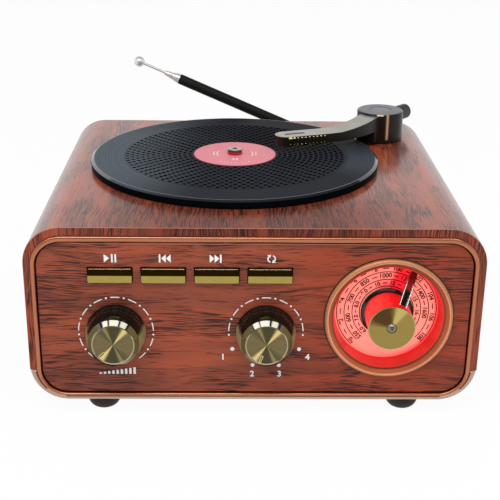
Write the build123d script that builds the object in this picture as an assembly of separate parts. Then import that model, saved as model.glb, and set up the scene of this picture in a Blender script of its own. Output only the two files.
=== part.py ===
from build123d import *
from math import atan2, cos, degrees, hypot, radians, sin
import os

# A small wooden radio in the shape of a record player, in millimetres.
# +X is to the right, the front faces -Y, +Z is up, and the origin is under its middle at floor level.

# Driving dimensions of the case
case_width = 190.0
case_length = 168.0
case_height = 79.0
corner_radius = 16.0
wall = 3.0
opening_drop = 0.7
panel_drop = 1.25
foot_height = 6.5
seam_height = 14.5
knob_reach = 12.5
antenna_reach = 12.6

# Places worked out from them
base = foot_height
middle = base + case_height / 2
top = base + case_height
inner_top = top - wall - opening_drop
floor = base + wall - opening_drop
front = -case_length / 2 + (knob_reach - antenna_reach) / 2
rear = front + case_length

# Front trim, panel and the depths behind the front plane
trim_width = 1.9
trim_proud = 0.8
panel_recess = 0.6
panel_thickness = 3.0
panel_back = panel_recess + panel_thickness
fit_gap = 0.1
panel_gap = 0.5

# Front controls
knob_height = base + 32.5
volume_x = -58.0
band_x = 4.7
knob_radius = 12.7
knob_face_radius = 8.9
shaft_radius = 3.0
bushing_radius = 3.5
running_gap = 0.05
dial_x = 56.0
dial_height = base + 38.8
bezel_radius = 26.9
dial_hole_radius = 24.2
well_radius = 23.4
plate_radius = 22.0
plate_depth = 8.2
well_depth = 10.2
tuning_reach = 9.0
tuning_radius = 9.6
tuning_shaft_radius = 2.0
tuning_screw_radius = 0.9
pointer_angle = 29.5
pointer_width = 3.6
pointer_near = (9.2, 4.6)
pointer_far = (20.0, -5.9)
button_pitch = 21.9
button_first_x = -59.65
button_height = base + 58.25
button_slot = (18.8, 6.9)
button_gap = 0.3
button_travel = 0.8
button_stem_depth = panel_back + 3.4
switch_height = 3.5
switch_gap = 0.2
pillar_radius = 2.2

# Record, its drive and the loudspeaker under it
disc_x = -8.4
disc_y = front + 90.5
disc_radius = 68.3
disc_top = top + 4.0
disc_web = 1.6
skirt_gap = 0.4
hole_radius = 0.9
hole_rings = 13
hole_first_ring = 21.6
hole_ring_pitch = 2.48
holes_in_first_ring = 36
holes_added_per_ring = 4
label_radius = 19.8
label_thickness = 0.3
spindle_radius = 1.5
spindle_knob_radius = 3.5
spindle_knob_height = 2.6
spindle_flange_radius = 7.0
spindle_bush_radius = 4.0
bridge_hub_radius = 9.0
bridge_arm_half = 3.5
motor_radius = 12.0
opening_radius = 54.0
bridge_radius = 60.0
bridge_thickness = 2.5
speaker_radius = 58.0
speaker_hole_radius = 53.2
speaker_screw_circle = 56.0
speaker_screw_radius = 1.5
magnet_radius = 25.0
coil_radius = 12.0

# Tonearm
pivot_x = 66.7
pivot_y = front + 134.9
drum_radius = 11.8
drum_top = top + 15.2
arm_width = 10.5
arm_top = top + 11.7
arm_root_top = top + 14.4
arm_bottom = top + 7.2
arm_slope = (12.0, 38.0)
arm_slope_angle = 225.0
arm_start_angle = 234.0
arm_end_angle = 199.0
arm_start_run = 17.0
arm_bend_radius = 44.9
arm_end_run = 19.9
arm_root_radius = 15.5
counterweight_angle = 46.0
counterweight_height = top + 10.5
counterweight_bar_radius = 1.8
pivot_radius = 3.0
pivot_bush_radius = 5.0
inlay_radius = 5.6
inlay_depth = 0.5
rib_count = 10

# Telescopic antenna
antenna_x = 75.0
antenna_z = base + 50.9
antenna_y = rear + antenna_reach - 4.0
antenna_angle = 23.4
mast_length = 124.0
antenna_length = 147.6
mast_radius = 2.75
nose_length = 4.4
tube_wall = 0.55
tube_step = 0.7
hub_radius = 5.0
hub_post_radius = 1.8
fold_pin_radius = 1.2
cheek_radius = 4.0
tongue_thickness = 3.0
antenna_tip_radius = 2.9

# Feet
foot_radius = 7.2
foot_inset = 9.0
foot_x = 65.0

# Screws, cleats, boards and sockets inside
screw_radius = 1.25
foot_boss_radius = 3.2
board_post_radius = 3.0
cleat_height = (29.0, 68.0)
frame_depth = 5.4
button_board_depth = 12.3
speaker_top = inner_top - bridge_thickness
magnet_top = speaker_top - 31.0
cone_low = magnet_top + 8.5
motor_low = inner_top - 16.0
board_x = (-20.0, 78.0)
board_y = (rear - 66.0, rear - wall - 1.0)
board_height = 14.5
board_thickness = 1.6
usb_x = 30.0
charge_x = 52.0


def block(x, y, z):
    """A box from its low and high corners, given as three pairs."""
    size = Box(x[1] - x[0], y[1] - y[0], z[1] - z[0])
    return Pos((x[0] + x[1]) / 2, (y[0] + y[1]) / 2, (z[0] + z[1]) / 2) * size


def post(radius, x, y, z):
    """An upright cylinder between two heights."""
    return Pos(x, y, (z[0] + z[1]) / 2) * Cylinder(radius, z[1] - z[0])


def turned(profile):
    """A face in the XZ plane turned about Z."""
    return revolve(Plane.XZ * profile, axis=Axis.Z)


def outline(points):
    """A face inside a closed run of points."""
    return make_face(Polyline(*points, close=True))


def at_front(x, z, shape):
    """Turns a shape from +Z to face forward, with its zero on the case's front plane."""
    return Pos(x, front, z) * Rot(90, 0, 0) * shape


def case_prism(inset, y):
    """The case's rounded section, drawn in by inset, between two depths. The inner ones sit lower."""
    drop = 0 if inset == 0 else opening_drop if inset < wall + trim_width else panel_drop
    section = RectangleRounded(
        case_width - 2 * inset, case_height - 2 * inset, corner_radius - inset
    )
    plane = Plane(origin=(0, y[0], middle - drop), x_dir=(1, 0, 0), z_dir=(0, 1, 0))
    return extrude(plane * section, y[1] - y[0])


def case_band(outer, inner, y):
    """A frame that follows the case's section between two insets."""
    return case_prism(outer, y) - case_prism(inner, y)


# Places of what repeats

def foot_places():
    return [(x, y) for x in (-foot_x, foot_x) for y in (front + foot_inset, rear - foot_inset)]


def board_post_places():
    return [(x, y) for x in (board_x[0] + 5, board_x[1] - 5) for y in (board_y[0] + 5, board_y[1] - 5)]


def button_places():
    return [button_first_x + step * button_pitch for step in range(4)]


def board_pillar_places():
    return (-73.0, 19.4)


def back_screw_places():
    return [(x, z) for x in (-86.5, 86.5) for z in (34.0, 50.0, 65.0)]


def speaker_screw_places():
    reach = speaker_screw_circle * cos(radians(45))
    return [(disc_x + x, disc_y + y) for x in (-reach, reach) for y in (-reach, reach)]


# Case

def make_cover():
    shell = case_band(0, wall, (front, rear))
    shell -= block((-case_width, case_width), (front - 1, rear + 1), (0, base + seam_height))
    shell -= post(opening_radius, disc_x, disc_y, (inner_top - 1, top + 1))
    shell -= post(pivot_bush_radius, pivot_x, pivot_y, (inner_top - 1, top + 1))
    for x, y in speaker_screw_places():
        shell -= post(speaker_screw_radius, x, y, (inner_top - 1, top - 1))
    return shell


def make_tray():
    below_seam = block((-case_width, case_width), (front, rear), (0, base + seam_height))
    shell = case_band(0, wall, (front, rear)) & below_seam
    lip_band = block((-case_width, case_width), (front, rear), (floor + 5, base + seam_height + 8))
    lip = case_band(wall, wall + 2, (front + 12, rear - 12)) & lip_band
    shell += lip
    for x, y in foot_places():
        shell += post(foot_boss_radius, x, y, (floor - 0.5, floor + 5))
        shell -= post(screw_radius, x, y, (base - 1, floor + 4))
    for x, y in board_post_places():
        shell += post(board_post_radius, x, y, (floor - 0.5, board_height))
    return shell


def make_front_frame():
    ring = case_band(wall, wall + trim_width, (front - trim_proud, front + frame_depth))
    ledge = case_band(wall, wall + 4.5, (front + panel_back + fit_gap, front + frame_depth))
    return ring + ledge


def make_front_panel():
    panel = case_prism(wall + trim_width + panel_gap, (front + panel_recess, front + panel_back))
    for x in (volume_x, band_x):
        panel -= at_front(x, knob_height, Cylinder(bushing_radius, 20))
    panel -= at_front(dial_x, dial_height, Cylinder(dial_hole_radius, 20))
    for x in button_places():
        panel -= at_front(x, button_height, Box(*button_slot, 20))
    for x in board_pillar_places():
        pillar = Pos(0, 0, -(panel_back + button_board_depth) / 2 + 0.25)
        pillar *= Cylinder(pillar_radius, button_board_depth - panel_back + 0.5)
        panel += at_front(x, button_height, pillar)
    return panel


def make_back_panel():
    panel = case_prism(wall + fit_gap, (rear - wall, rear))
    for x, width, height in ((usb_x, 13.6, 6.6), (charge_x, 9.4, 3.6)):
        z = board_height + board_thickness + height / 2 - 0.2
        panel -= Pos(x, rear, z) * Box(width, 20, height)
    for x, z in back_screw_places():
        panel -= Pos(x, rear, z) * Rot(90, 0, 0) * Cylinder(screw_radius, 20)
    panel -= Pos(antenna_x, rear, antenna_z) * Rot(90, 0, 0) * Cylinder(hub_post_radius, 20)
    return panel


def make_cleats():
    cleats = []
    for side in (-1, 1):
        x = sorted((side * 83.0, side * (case_width / 2 - wall)))
        for y in ((front + frame_depth, front + 16), (rear - wall - 10, rear - wall)):
            cleats.append(block(x, y, cleat_height))
    holes = [
        Pos(x, rear - 8, z) * Rot(90, 0, 0) * Cylinder(screw_radius, 14) for x, z in back_screw_places()
    ]
    return Compound(children=[cleat - holes for cleat in cleats])


def make_back_screws():
    screws = []
    for x, z in back_screw_places():
        shank = Pos(0, 0, -4) * Cylinder(screw_radius, 10)
        head = Pos(0, 0, 0.5) * Cylinder(2.6, 1.0) - Pos(0, 0, 1) * Box(3.4, 0.7, 1.0)
        screws.append(Pos(x, rear, z) * Rot(-90, 0, 0) * (shank + head))
    return Compound(children=screws)


def make_feet():
    side = Line((foot_radius, 4.8), (foot_radius, foot_height))
    dome = RadiusArc((3.4, 0), (foot_radius, 4.8), -7.0)
    rest = Polyline((foot_radius, foot_height), (0, foot_height), (0, 0), (3.4, 0))
    foot = turned(make_face(Wire([dome, side] + rest.edges())))
    foot -= post(2.7, 0, 0, (-1, 2.6)) + post(screw_radius, 0, 0, (0, foot_height + 1))
    return Compound(children=[Pos(x, y, 0) * foot for x, y in foot_places()])


def make_foot_screws():
    screw = post(2.4, 0, 0, (1.0, 2.6)) + post(screw_radius, 0, 0, (2, floor + 3.5))
    screw -= block((-1.7, 1.7), (-0.35, 0.35), (0.9, 1.6))
    return Compound(children=[Pos(x, y, 0) * screw for x, y in foot_places()])


# Dial

def make_bezel():
    seat = -panel_recess
    outside = Polyline(
        (23.5, -0.8), (23.5, -3.4), (24.1, -3.4), (24.1, seat),
        (bezel_radius, seat), (bezel_radius, 0.9), (26.5, 1.3), (25.0, 1.2),
    )
    hollow = RadiusArc((25.0, 1.2), (23.5, -0.8), 3.0)
    ring = turned(make_face(Wire(outside.edges() + [hollow])))
    return at_front(dial_x, dial_height, ring)


def make_well():
    flange = panel_back + 0.3
    cup = outline((
        (3.2, -well_depth), (well_radius, -well_depth), (well_radius, -flange - 1),
        (26.0, -flange - 1), (26.0, -flange), (well_radius, -flange),
        (well_radius, -1.0), (well_radius - 0.4, -1.0), (plate_radius + 0.1, -plate_depth - 0.8),
        (3.2, -plate_depth - 0.8),
    ))
    return at_front(dial_x, dial_height, turned(cup))


def make_plate():
    plate = Pos(0, 0, -plate_depth - 0.4) * (Cylinder(plate_radius, 0.8) - Cylinder(3.4, 0.8))
    return at_front(dial_x, dial_height, plate)


def make_lamps():
    lamps = []
    for side in (-1, 1):
        lamp = Pos(15 * side, 12, -well_depth - 2.5) * Cylinder(1.5, 4.6)
        lamps.append(at_front(dial_x, dial_height, lamp))
    return Compound(children=lamps)


def make_tuning_control():
    body = Pos(0, 0, -well_depth - 7.1) * Cylinder(11, 14)
    body += Pos(0, -12, -well_depth - 7.1) * Box(12, 4, 1.2)
    bushing = Pos(0, 0, -well_depth + 0.5) * Cylinder(3.1, 1.6)
    bore = Pos(0, 0, -well_depth - 4.5) * Cylinder(tuning_shaft_radius + running_gap, 13)
    return at_front(dial_x, dial_height, body + bushing - bore)


def make_tuning_shaft():
    low = -well_depth - 10.5
    high = 5.0
    shaft = Pos(0, 0, (low + high) / 2) * Cylinder(tuning_shaft_radius, high - low)
    return at_front(dial_x, dial_height, shaft)


def make_tuning_knob():
    back = -plate_depth + 0.8
    knob = turned(outline((
        (0, 5.0), (tuning_shaft_radius, 5.0), (tuning_shaft_radius, back),
        (tuning_radius + 0.9, back), (tuning_radius + 0.9, back + 0.8),
        (tuning_radius, back + 1.4), (tuning_radius, 7.6), (tuning_radius + 0.2, 7.8),
        (tuning_radius + 0.2, tuning_reach - 0.3), (tuning_radius - 0.1, tuning_reach), (0, tuning_reach),
    )))
    knob -= Pos(0, 0, 8) * Cylinder(tuning_screw_radius, 6)
    return at_front(dial_x, dial_height, knob)


def make_tuning_screw():
    head = turned(make_face(Wire([
        ThreePointArc((1.9, tuning_reach), (1.35, tuning_reach + 0.75), (0, tuning_reach + 1.0)),
        Line((0, tuning_reach + 1.0), (0, tuning_reach)),
        Line((0, tuning_reach), (1.9, tuning_reach)),
    ])))
    shank = Pos(0, 0, 7.2) * Cylinder(tuning_screw_radius, 3.8)
    slot = Pos(0, 0, tuning_reach + 1.1) * Box(4, 0.5, 0.9)
    return at_front(dial_x, dial_height, head + shank - slot)


def make_pointer():
    run = pointer_far[0] - pointer_near[0]
    drop = pointer_near[1] - pointer_far[1]
    length = hypot(run, drop)
    bar = extrude(SlotOverall(length + pointer_width, pointer_width), 0.6, both=True)
    bar -= extrude(Pos(0, 0, 0.2) * SlotOverall(length + 2.0, 2.0), 1.0)
    centre = Pos(pointer_near[0] + run / 2, 0, pointer_near[1] - drop / 2)
    bar = centre * Rot(0, degrees(atan2(drop, run)), 0) * bar
    bar -= Cylinder(tuning_radius, 40)
    return at_front(dial_x, dial_height, Rot(0, 0, 90 - pointer_angle) * bar)


# Knobs, their controls and the buttons

def make_knob(x):
    rim = Polyline(
        (0, knob_reach - 3.8), (shaft_radius, knob_reach - 3.8), (shaft_radius, 3.2), (7.0, 3.2),
        (7.0, 0), (knob_radius, 0), (knob_radius, 1.6), (knob_radius - 0.6, 2.2),
    )
    side = RadiusArc((knob_radius - 0.6, 2.2), (knob_face_radius + 0.5, knob_reach - 1.6), 60.0)
    nose = Polyline(
        (knob_face_radius + 0.5, knob_reach - 1.6), (knob_face_radius, knob_reach - 0.2),
        (knob_face_radius - 0.4, knob_reach), (0, knob_reach - 0.5), (0, knob_reach - 3.8),
    )
    knob = turned(make_face(Wire(rim.edges() + [side] + nose.edges())))
    return at_front(x, knob_height, knob)


def make_control(x, radius, depth):
    body = Pos(0, 0, -panel_back - depth / 2) * Cylinder(radius, depth)
    lugs = Pos(0, -radius - 1, -panel_back - depth / 2) * Box(12, 4, 1.2)
    bushing = Pos(0, 0, -panel_back / 2 + 1) * Cylinder(bushing_radius, panel_back + 2)
    bore = Pos(0, 0, -panel_back - depth / 2 + 2) * Cylinder(shaft_radius + running_gap, depth + 8)
    return at_front(x, knob_height, body + lugs + bushing - bore)


def make_control_shaft(x):
    low = -panel_back - 4.0
    high = knob_reach - 3.8
    return at_front(x, knob_height, Pos(0, 0, (low + high) / 2) * Cylinder(shaft_radius, high - low))


def make_nuts():
    nut = extrude(RegularPolygon(5.6, 6), 1.8) - Cylinder(bushing_radius, 10)
    return Compound(children=[
        at_front(x, knob_height, Pos(0, 0, -panel_recess) * nut) for x in (volume_x, band_x)
    ])


def make_button(x):
    width = button_slot[0] - 2 * button_gap
    height = button_slot[1] - 2 * button_gap
    cap = Pos(0, 0, -1.45) * Box(width, height, 4.9)
    cap = chamfer(cap.edges().group_by(Axis.Z)[-1], 0.35)
    flange = Pos(0, 0, -panel_back - 0.8) * Box(width + 2.2, height + 2.1, 1.0)
    stem = block((-2, 2), (-2, 2), (-button_stem_depth, -panel_back - 1))
    return at_front(x, button_height, cap + flange + stem)


def make_switches():
    switches = []
    body_top = -button_board_depth + switch_height
    plunger_top = -button_stem_depth - button_travel - switch_gap
    for x in button_places():
        body = block((-3, 3), (-3, 3), (-button_board_depth, body_top))
        plunger = post(1.7, 0, 0, (body_top, plunger_top))
        switches.append(at_front(x, button_height, body + plunger))
    return Compound(children=switches)


def make_button_board():
    left, right = board_pillar_places()
    low = -button_board_depth - board_thickness
    board = block((left - 3.3, right + 3.3), (-6, 6), (low, -button_board_depth))
    return at_front(0, button_height, board)


# Record, its drive and the loudspeaker

def make_disc():
    web = disc_top - disc_web
    body = turned(outline((
        (spindle_radius, web - 1.0), (bridge_hub_radius, web - 1.0), (bridge_hub_radius, web),
        (disc_radius - 2.5, web),
        (disc_radius - 2.5, top + skirt_gap), (disc_radius, top + skirt_gap),
        (disc_radius, disc_top - 0.8), (disc_radius - 1.0, disc_top), (spindle_radius, disc_top),
    )))
    holes = []
    for ring in range(hole_rings):
        radius = hole_first_ring + ring * hole_ring_pitch
        count = holes_in_first_ring + ring * holes_added_per_ring
        for step in range(count):
            angle = radians(360 * (step + 0.5 * (ring % 2)) / count)
            holes.append(Pos(radius * cos(angle), radius * sin(angle)) * Circle(hole_radius))
    web_floor = Pos(0, 0, web - 1) * Sketch(children=holes)
    return Pos(disc_x, disc_y, 0) * (body - extrude(web_floor, disc_web + 2))


def make_label():
    label = Cylinder(label_radius, label_thickness) - Cylinder(spindle_radius, label_thickness)
    return Pos(disc_x, disc_y, disc_top + label_thickness / 2) * label


def make_spindle():
    seat = disc_top + label_thickness
    spindle = turned(outline((
        (0, motor_low + 3), (spindle_radius, motor_low + 3), (spindle_radius, top - 0.1),
        (spindle_flange_radius, top - 0.1), (spindle_flange_radius, disc_top - disc_web - 1.0),
        (spindle_radius, disc_top - disc_web - 1.0),
        (spindle_radius, seat), (spindle_knob_radius, seat),
        (spindle_knob_radius, seat + spindle_knob_height - 0.4),
        (spindle_knob_radius - 0.4, seat + spindle_knob_height), (1.2, seat + spindle_knob_height),
        (1.2, seat + spindle_knob_height - 0.6), (0, seat + spindle_knob_height - 0.6),
    )))
    return Pos(disc_x, disc_y, 0) * spindle


def make_bridge():
    low = inner_top - bridge_thickness
    bridge = post(bridge_radius, 0, 0, (low, inner_top)) - post(opening_radius, 0, 0, (low, inner_top))
    for angle in (90, 210, 330):
        arm = block((4, opening_radius + 1), (-bridge_arm_half, bridge_arm_half), (low, inner_top))
        bridge += Rot(0, 0, angle) * arm
    bridge += post(bridge_hub_radius, 0, 0, (inner_top - 4, inner_top + 1.6))
    bridge -= post(spindle_bush_radius, 0, 0, (low - 5, top))
    bridge = Pos(disc_x, disc_y, 0) * bridge
    for x, y in speaker_screw_places():
        bridge -= post(speaker_screw_radius, x, y, (low - 1, top))
    return bridge


def make_spindle_bush():
    bush = post(spindle_bush_radius, 0, 0, (inner_top - 4, inner_top + 1.6))
    bush += post(spindle_bush_radius + 2, 0, 0, (inner_top + 1.6, top - 0.4))
    bush -= post(spindle_radius + running_gap, 0, 0, (inner_top - 5, top))
    return Pos(disc_x, disc_y, 0) * bush


def make_disc_motor():
    motor = post(motor_radius, 0, 0, (motor_low, inner_top - 4))
    motor -= post(spindle_radius + running_gap, 0, 0, (motor_low + 2.5, inner_top))
    return Pos(disc_x, disc_y, 0) * motor


def make_speaker_frame():
    flange_low = speaker_top - 3.0
    basket = turned(outline((
        (speaker_radius, flange_low), (speaker_radius, speaker_top), (speaker_hole_radius, speaker_top),
        (speaker_hole_radius, speaker_top - 1.5), (speaker_hole_radius - 1.6, speaker_top - 1.5),
        (speaker_hole_radius - 1.6, flange_low), (magnet_radius + 2, magnet_top + 1.5),
        (coil_radius + 2, magnet_top + 1.5), (coil_radius + 2, magnet_top),
        (magnet_radius + 3, magnet_top), (speaker_hole_radius, flange_low),
    )))
    for step in range(6):
        window = Pos(40, 0, magnet_top + 12) * Rot(0, 45, 0) * Cylinder(8.0, 24)
        basket -= Rot(0, 0, 60 * step) * window
    basket = Pos(disc_x, disc_y, 0) * basket
    for x, y in speaker_screw_places():
        basket -= post(speaker_screw_radius, x, y, (flange_low - 1, top))
    return basket


def make_magnet():
    magnet = post(magnet_radius, 0, 0, (magnet_top - 12.5, magnet_top))
    gap = post(coil_radius + 1, 0, 0, (magnet_top - 8.5, magnet_top + 1))
    gap -= post(coil_radius - 1, 0, 0, (magnet_top - 9, magnet_top + 1))
    return Pos(disc_x, disc_y, 0) * (magnet - gap)


def make_cone():
    rim = speaker_top - 1.5
    cone = turned(outline((
        (coil_radius - 0.3, magnet_top - 6), (coil_radius + 0.2, magnet_top - 6),
        (coil_radius + 0.2, cone_low), (43.6, rim - 0.7), (44.9, rim - 0.7), (44.9, rim), (43.2, rim),
        (coil_radius, cone_low + 0.9), (9.0, cone_low + 2.8), (4.5, cone_low + 4.2), (0, cone_low + 4.6),
        (0, cone_low + 3.9), (4.4, cone_low + 3.5), (8.6, cone_low + 2.1), (coil_radius - 0.3, cone_low),
    )))
    return Pos(disc_x, disc_y, 0) * cone


def make_surround():
    rim = speaker_top - 1.5
    roll = Circle(3.2) - Circle(2.7) - Pos(0, 5) * Rectangle(10, 10)
    roll += Pos(3.8, 0.25) * Rectangle(2.2, 0.5)
    roll += Pos(-3.8, 0.25) * Rectangle(2.2, 0.5)
    surround = turned(Pos(48.3, rim) * roll)
    return Pos(disc_x, disc_y, 0) * surround


def make_speaker_screws():
    screws = []
    for x, y in speaker_screw_places():
        shank = post(speaker_screw_radius, x, y, (speaker_top - 3, top - 1.2))
        screws.append(shank + post(2.8, x, y, (speaker_top - 5, speaker_top - 3)))
    return Compound(children=screws)


# Tonearm

def arm_path():
    """The bar's centre line from the pivot to the head, with the pivot at zero."""
    start = PolarLine((0, 0), arm_start_run, arm_start_angle)
    bend = JernArc(start @ 1, start % 1, arm_bend_radius, arm_end_angle - arm_start_angle)
    head = PolarLine(bend @ 1, arm_end_run, arm_end_angle)
    return start, bend, head


def make_tonearm():
    start, bend, head = arm_path()
    plan = trace(Wire([start, bend, head]), arm_width)
    plan += Pos(*(head @ 1)) * Circle(arm_width / 2)
    profile = outline((
        (-25, arm_bottom), (75, arm_bottom), (75, arm_top), (arm_slope[1], arm_top),
        (arm_slope[0], arm_root_top), (-25, arm_root_top),
    ))
    bar = extrude(Pos(0, 0, arm_bottom) * plan, arm_root_top - arm_bottom)
    bar &= Rot(0, 0, arm_slope_angle) * extrude(Plane.XZ * profile, 60, both=True)
    root = extrude(Pos(0, 0, top + 1.2) * plan, arm_bottom - top)
    root &= post(arm_root_radius, 0, 0, (top, arm_bottom + 1))
    drum = post(drum_radius, 0, 0, (top + 0.5, drum_top))
    drum = chamfer(drum.edges().group_by(Axis.Z)[-1], 0.5)
    drum -= post(inlay_radius, 0, 0, (drum_top - inlay_depth, drum_top + 1))
    stub = Pos(16, 0, counterweight_height) * Rot(0, 90, 0) * Cylinder(counterweight_bar_radius, 14)
    arm = bar + root + drum + Rot(0, 0, counterweight_angle) * stub
    finger_slot = Rot(0, 0, arm_end_angle - 180) * Box(10.2, 1.6, 1.6)
    arm -= Pos(*(head @ 0.76)) * Pos(0, 0, arm_top) * finger_slot
    across = Vector(arm_width / 2, 0).rotate(Axis.Z, arm_end_angle + 90)
    for rib in range(rib_count):
        spot = head @ (0.98 - rib / rib_count) + across
        arm += Pos(*spot) * Pos(0, 0, (arm_top + arm_bottom) / 2) * Cylinder(0.45, 3.4)
    arm -= post(pivot_radius, 0, 0, (0, drum_top - 3))
    return Pos(pivot_x, pivot_y, 0) * arm


def make_stylus():
    head = arm_path()[2]
    low = disc_top + 0.7
    needle = Cone(0.25, 0.8, arm_bottom - low)
    return Pos(pivot_x, pivot_y, (low + arm_bottom) / 2) * Pos(*(head @ 0.85)) * needle


def make_inlay():
    return post(inlay_radius, pivot_x, pivot_y, (drum_top - inlay_depth, drum_top - 0.1))


def make_counterweight():
    weight = Cylinder(3.8, 9) - Cylinder(counterweight_bar_radius, 9)
    weight = chamfer(weight.edges().filter_by(GeomType.CIRCLE).sort_by(SortBy.RADIUS)[-2:], 0.5)
    place = Rot(0, 0, counterweight_angle) * Pos(18.3, 0, counterweight_height) * Rot(0, 90, 0)
    return Pos(pivot_x, pivot_y, 0) * place * weight


def make_tonearm_shaft():
    shaft = post(pivot_radius, 0, 0, (top - 11, drum_top - 3)) + post(5.5, 0, 0, (top - 11, top - 9.4))
    return Pos(pivot_x, pivot_y, 0) * shaft


def make_tonearm_bush():
    bush = post(pivot_bush_radius, 0, 0, (top - 9, top + 0.2))
    bush += post(pivot_bush_radius + 3, 0, 0, (inner_top - 2.5, inner_top))
    bush -= post(pivot_radius + running_gap, 0, 0, (top - 12, top + 3))
    return Pos(pivot_x, pivot_y, 0) * bush


# Antenna: drawn along +X, with its fold pin at zero and the case on the -Y side

def at_antenna(shape):
    return Pos(antenna_x, antenna_y, antenna_z) * Rot(0, 180 + antenna_angle, 0) * shape


def along_y(radius, y):
    return Pos(0, (y[0] + y[1]) / 2, 0) * Rot(90, 0, 0) * Cylinder(radius, y[1] - y[0])


def along_x(radius, x):
    return Pos((x[0] + x[1]) / 2, 0, 0) * Rot(0, 90, 0) * Cylinder(radius, x[1] - x[0])


def cone_along_x(start_radius, end_radius, x):
    return Pos((x[0] + x[1]) / 2, 0, 0) * Rot(0, 90, 0) * Cone(start_radius, end_radius, x[1] - x[0])


def make_antenna_bracket():
    wall_face = rear - antenna_y
    bracket = along_y(7.0, (wall_face, wall_face + 1.5))
    bracket += along_y(hub_post_radius, (wall_face - wall, wall_face + 4.0))
    bracket += along_y(4.0, (wall_face - wall - 1.5, wall_face - wall))
    return at_antenna(bracket)


def make_antenna_hub():
    low = rear - antenna_y + 1.6
    hub = along_y(hub_radius, (low, -cheek_radius))
    half = tongue_thickness / 2 + 0.1
    for side in (-1, 1):
        cheek = Cylinder(cheek_radius, 2.0)
        cheek += Pos(0, -cheek_radius / 2 - 0.5, 0) * Box(8, cheek_radius + 1, 2.0)
        hub += Pos(0, 0, side * (half + 1.0)) * (cheek & Box(8, 2 * cheek_radius + 1, 2.0))
    hub -= Cylinder(fold_pin_radius, 20)
    hub -= along_y(hub_post_radius + running_gap, (low - 1, low + 2.6))
    hub -= Box(20, 2 * cheek_radius, 2 * half)
    return at_antenna(hub)


def make_antenna_pin():
    half = tongue_thickness / 2 + 2.1
    pin = Cylinder(fold_pin_radius, 2 * half)
    for side in (-1, 1):
        pin += Pos(0, 0, side * (half + 0.3)) * Cylinder(2.0, 0.6)
    return at_antenna(pin)


def make_mast():
    tongue = Cylinder(cheek_radius - 0.2, tongue_thickness)
    tongue += Pos(3.5, 0, 0) * Box(7.0, 4.4, tongue_thickness)
    mast = tongue + along_x(mast_radius, (6, mast_length))
    mast -= Cylinder(fold_pin_radius + running_gap, 10)
    mast -= along_x(mast_radius - tube_wall, (10, mast_length + 1))
    return at_antenna(mast)


def make_section(index, start, end, nose):
    """A sliding tube that ends in a crimped nose, which butts on the tube it slides in."""
    radius = mast_radius - tube_wall - running_gap - index * tube_step
    crimp = end - nose_length
    tube = along_x(radius, (start, crimp)) + cone_along_x(*nose, (crimp, end))
    tube -= along_x(radius - tube_wall - 0.1, (start - 1, end + 1))
    return at_antenna(tube)


def make_last_section():
    radius = mast_radius - tube_wall - running_gap - 2 * tube_step
    rod = along_x(radius, (36, antenna_length)) + Pos(antenna_length, 0, 0) * Sphere(antenna_tip_radius)
    return at_antenna(rod)


# Electrics on the tray

def make_main_board():
    return block(board_x, board_y, (board_height, board_height + board_thickness))


def make_socket(x, width, height, depth, skin, tongue):
    low = board_height + board_thickness
    y = (rear - depth, rear)
    shell = block((x - width / 2, x + width / 2), y, (low, low + height))
    shell -= block(
        (x - width / 2 + skin, x + width / 2 - skin), (y[0] + 1, rear + 1), (low + skin, low + height - skin)
    )
    half = tongue / 2
    centre = low + height / 2
    across = (x - width / 2 + 1.4, x + width / 2 - 1.4)
    return shell + block(across, (y[0] + 0.5, rear - 1), (centre - half, centre + half))


def make_battery():
    return Pos(-64, 6, floor + 9.1) * Rot(90, 0, 0) * Cylinder(9.0, 65)


def make_ferrite_rod():
    return Pos(-20, rear - 14, inner_top - 6) * Rot(0, 90, 0) * Cylinder(4.0, 90)


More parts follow.
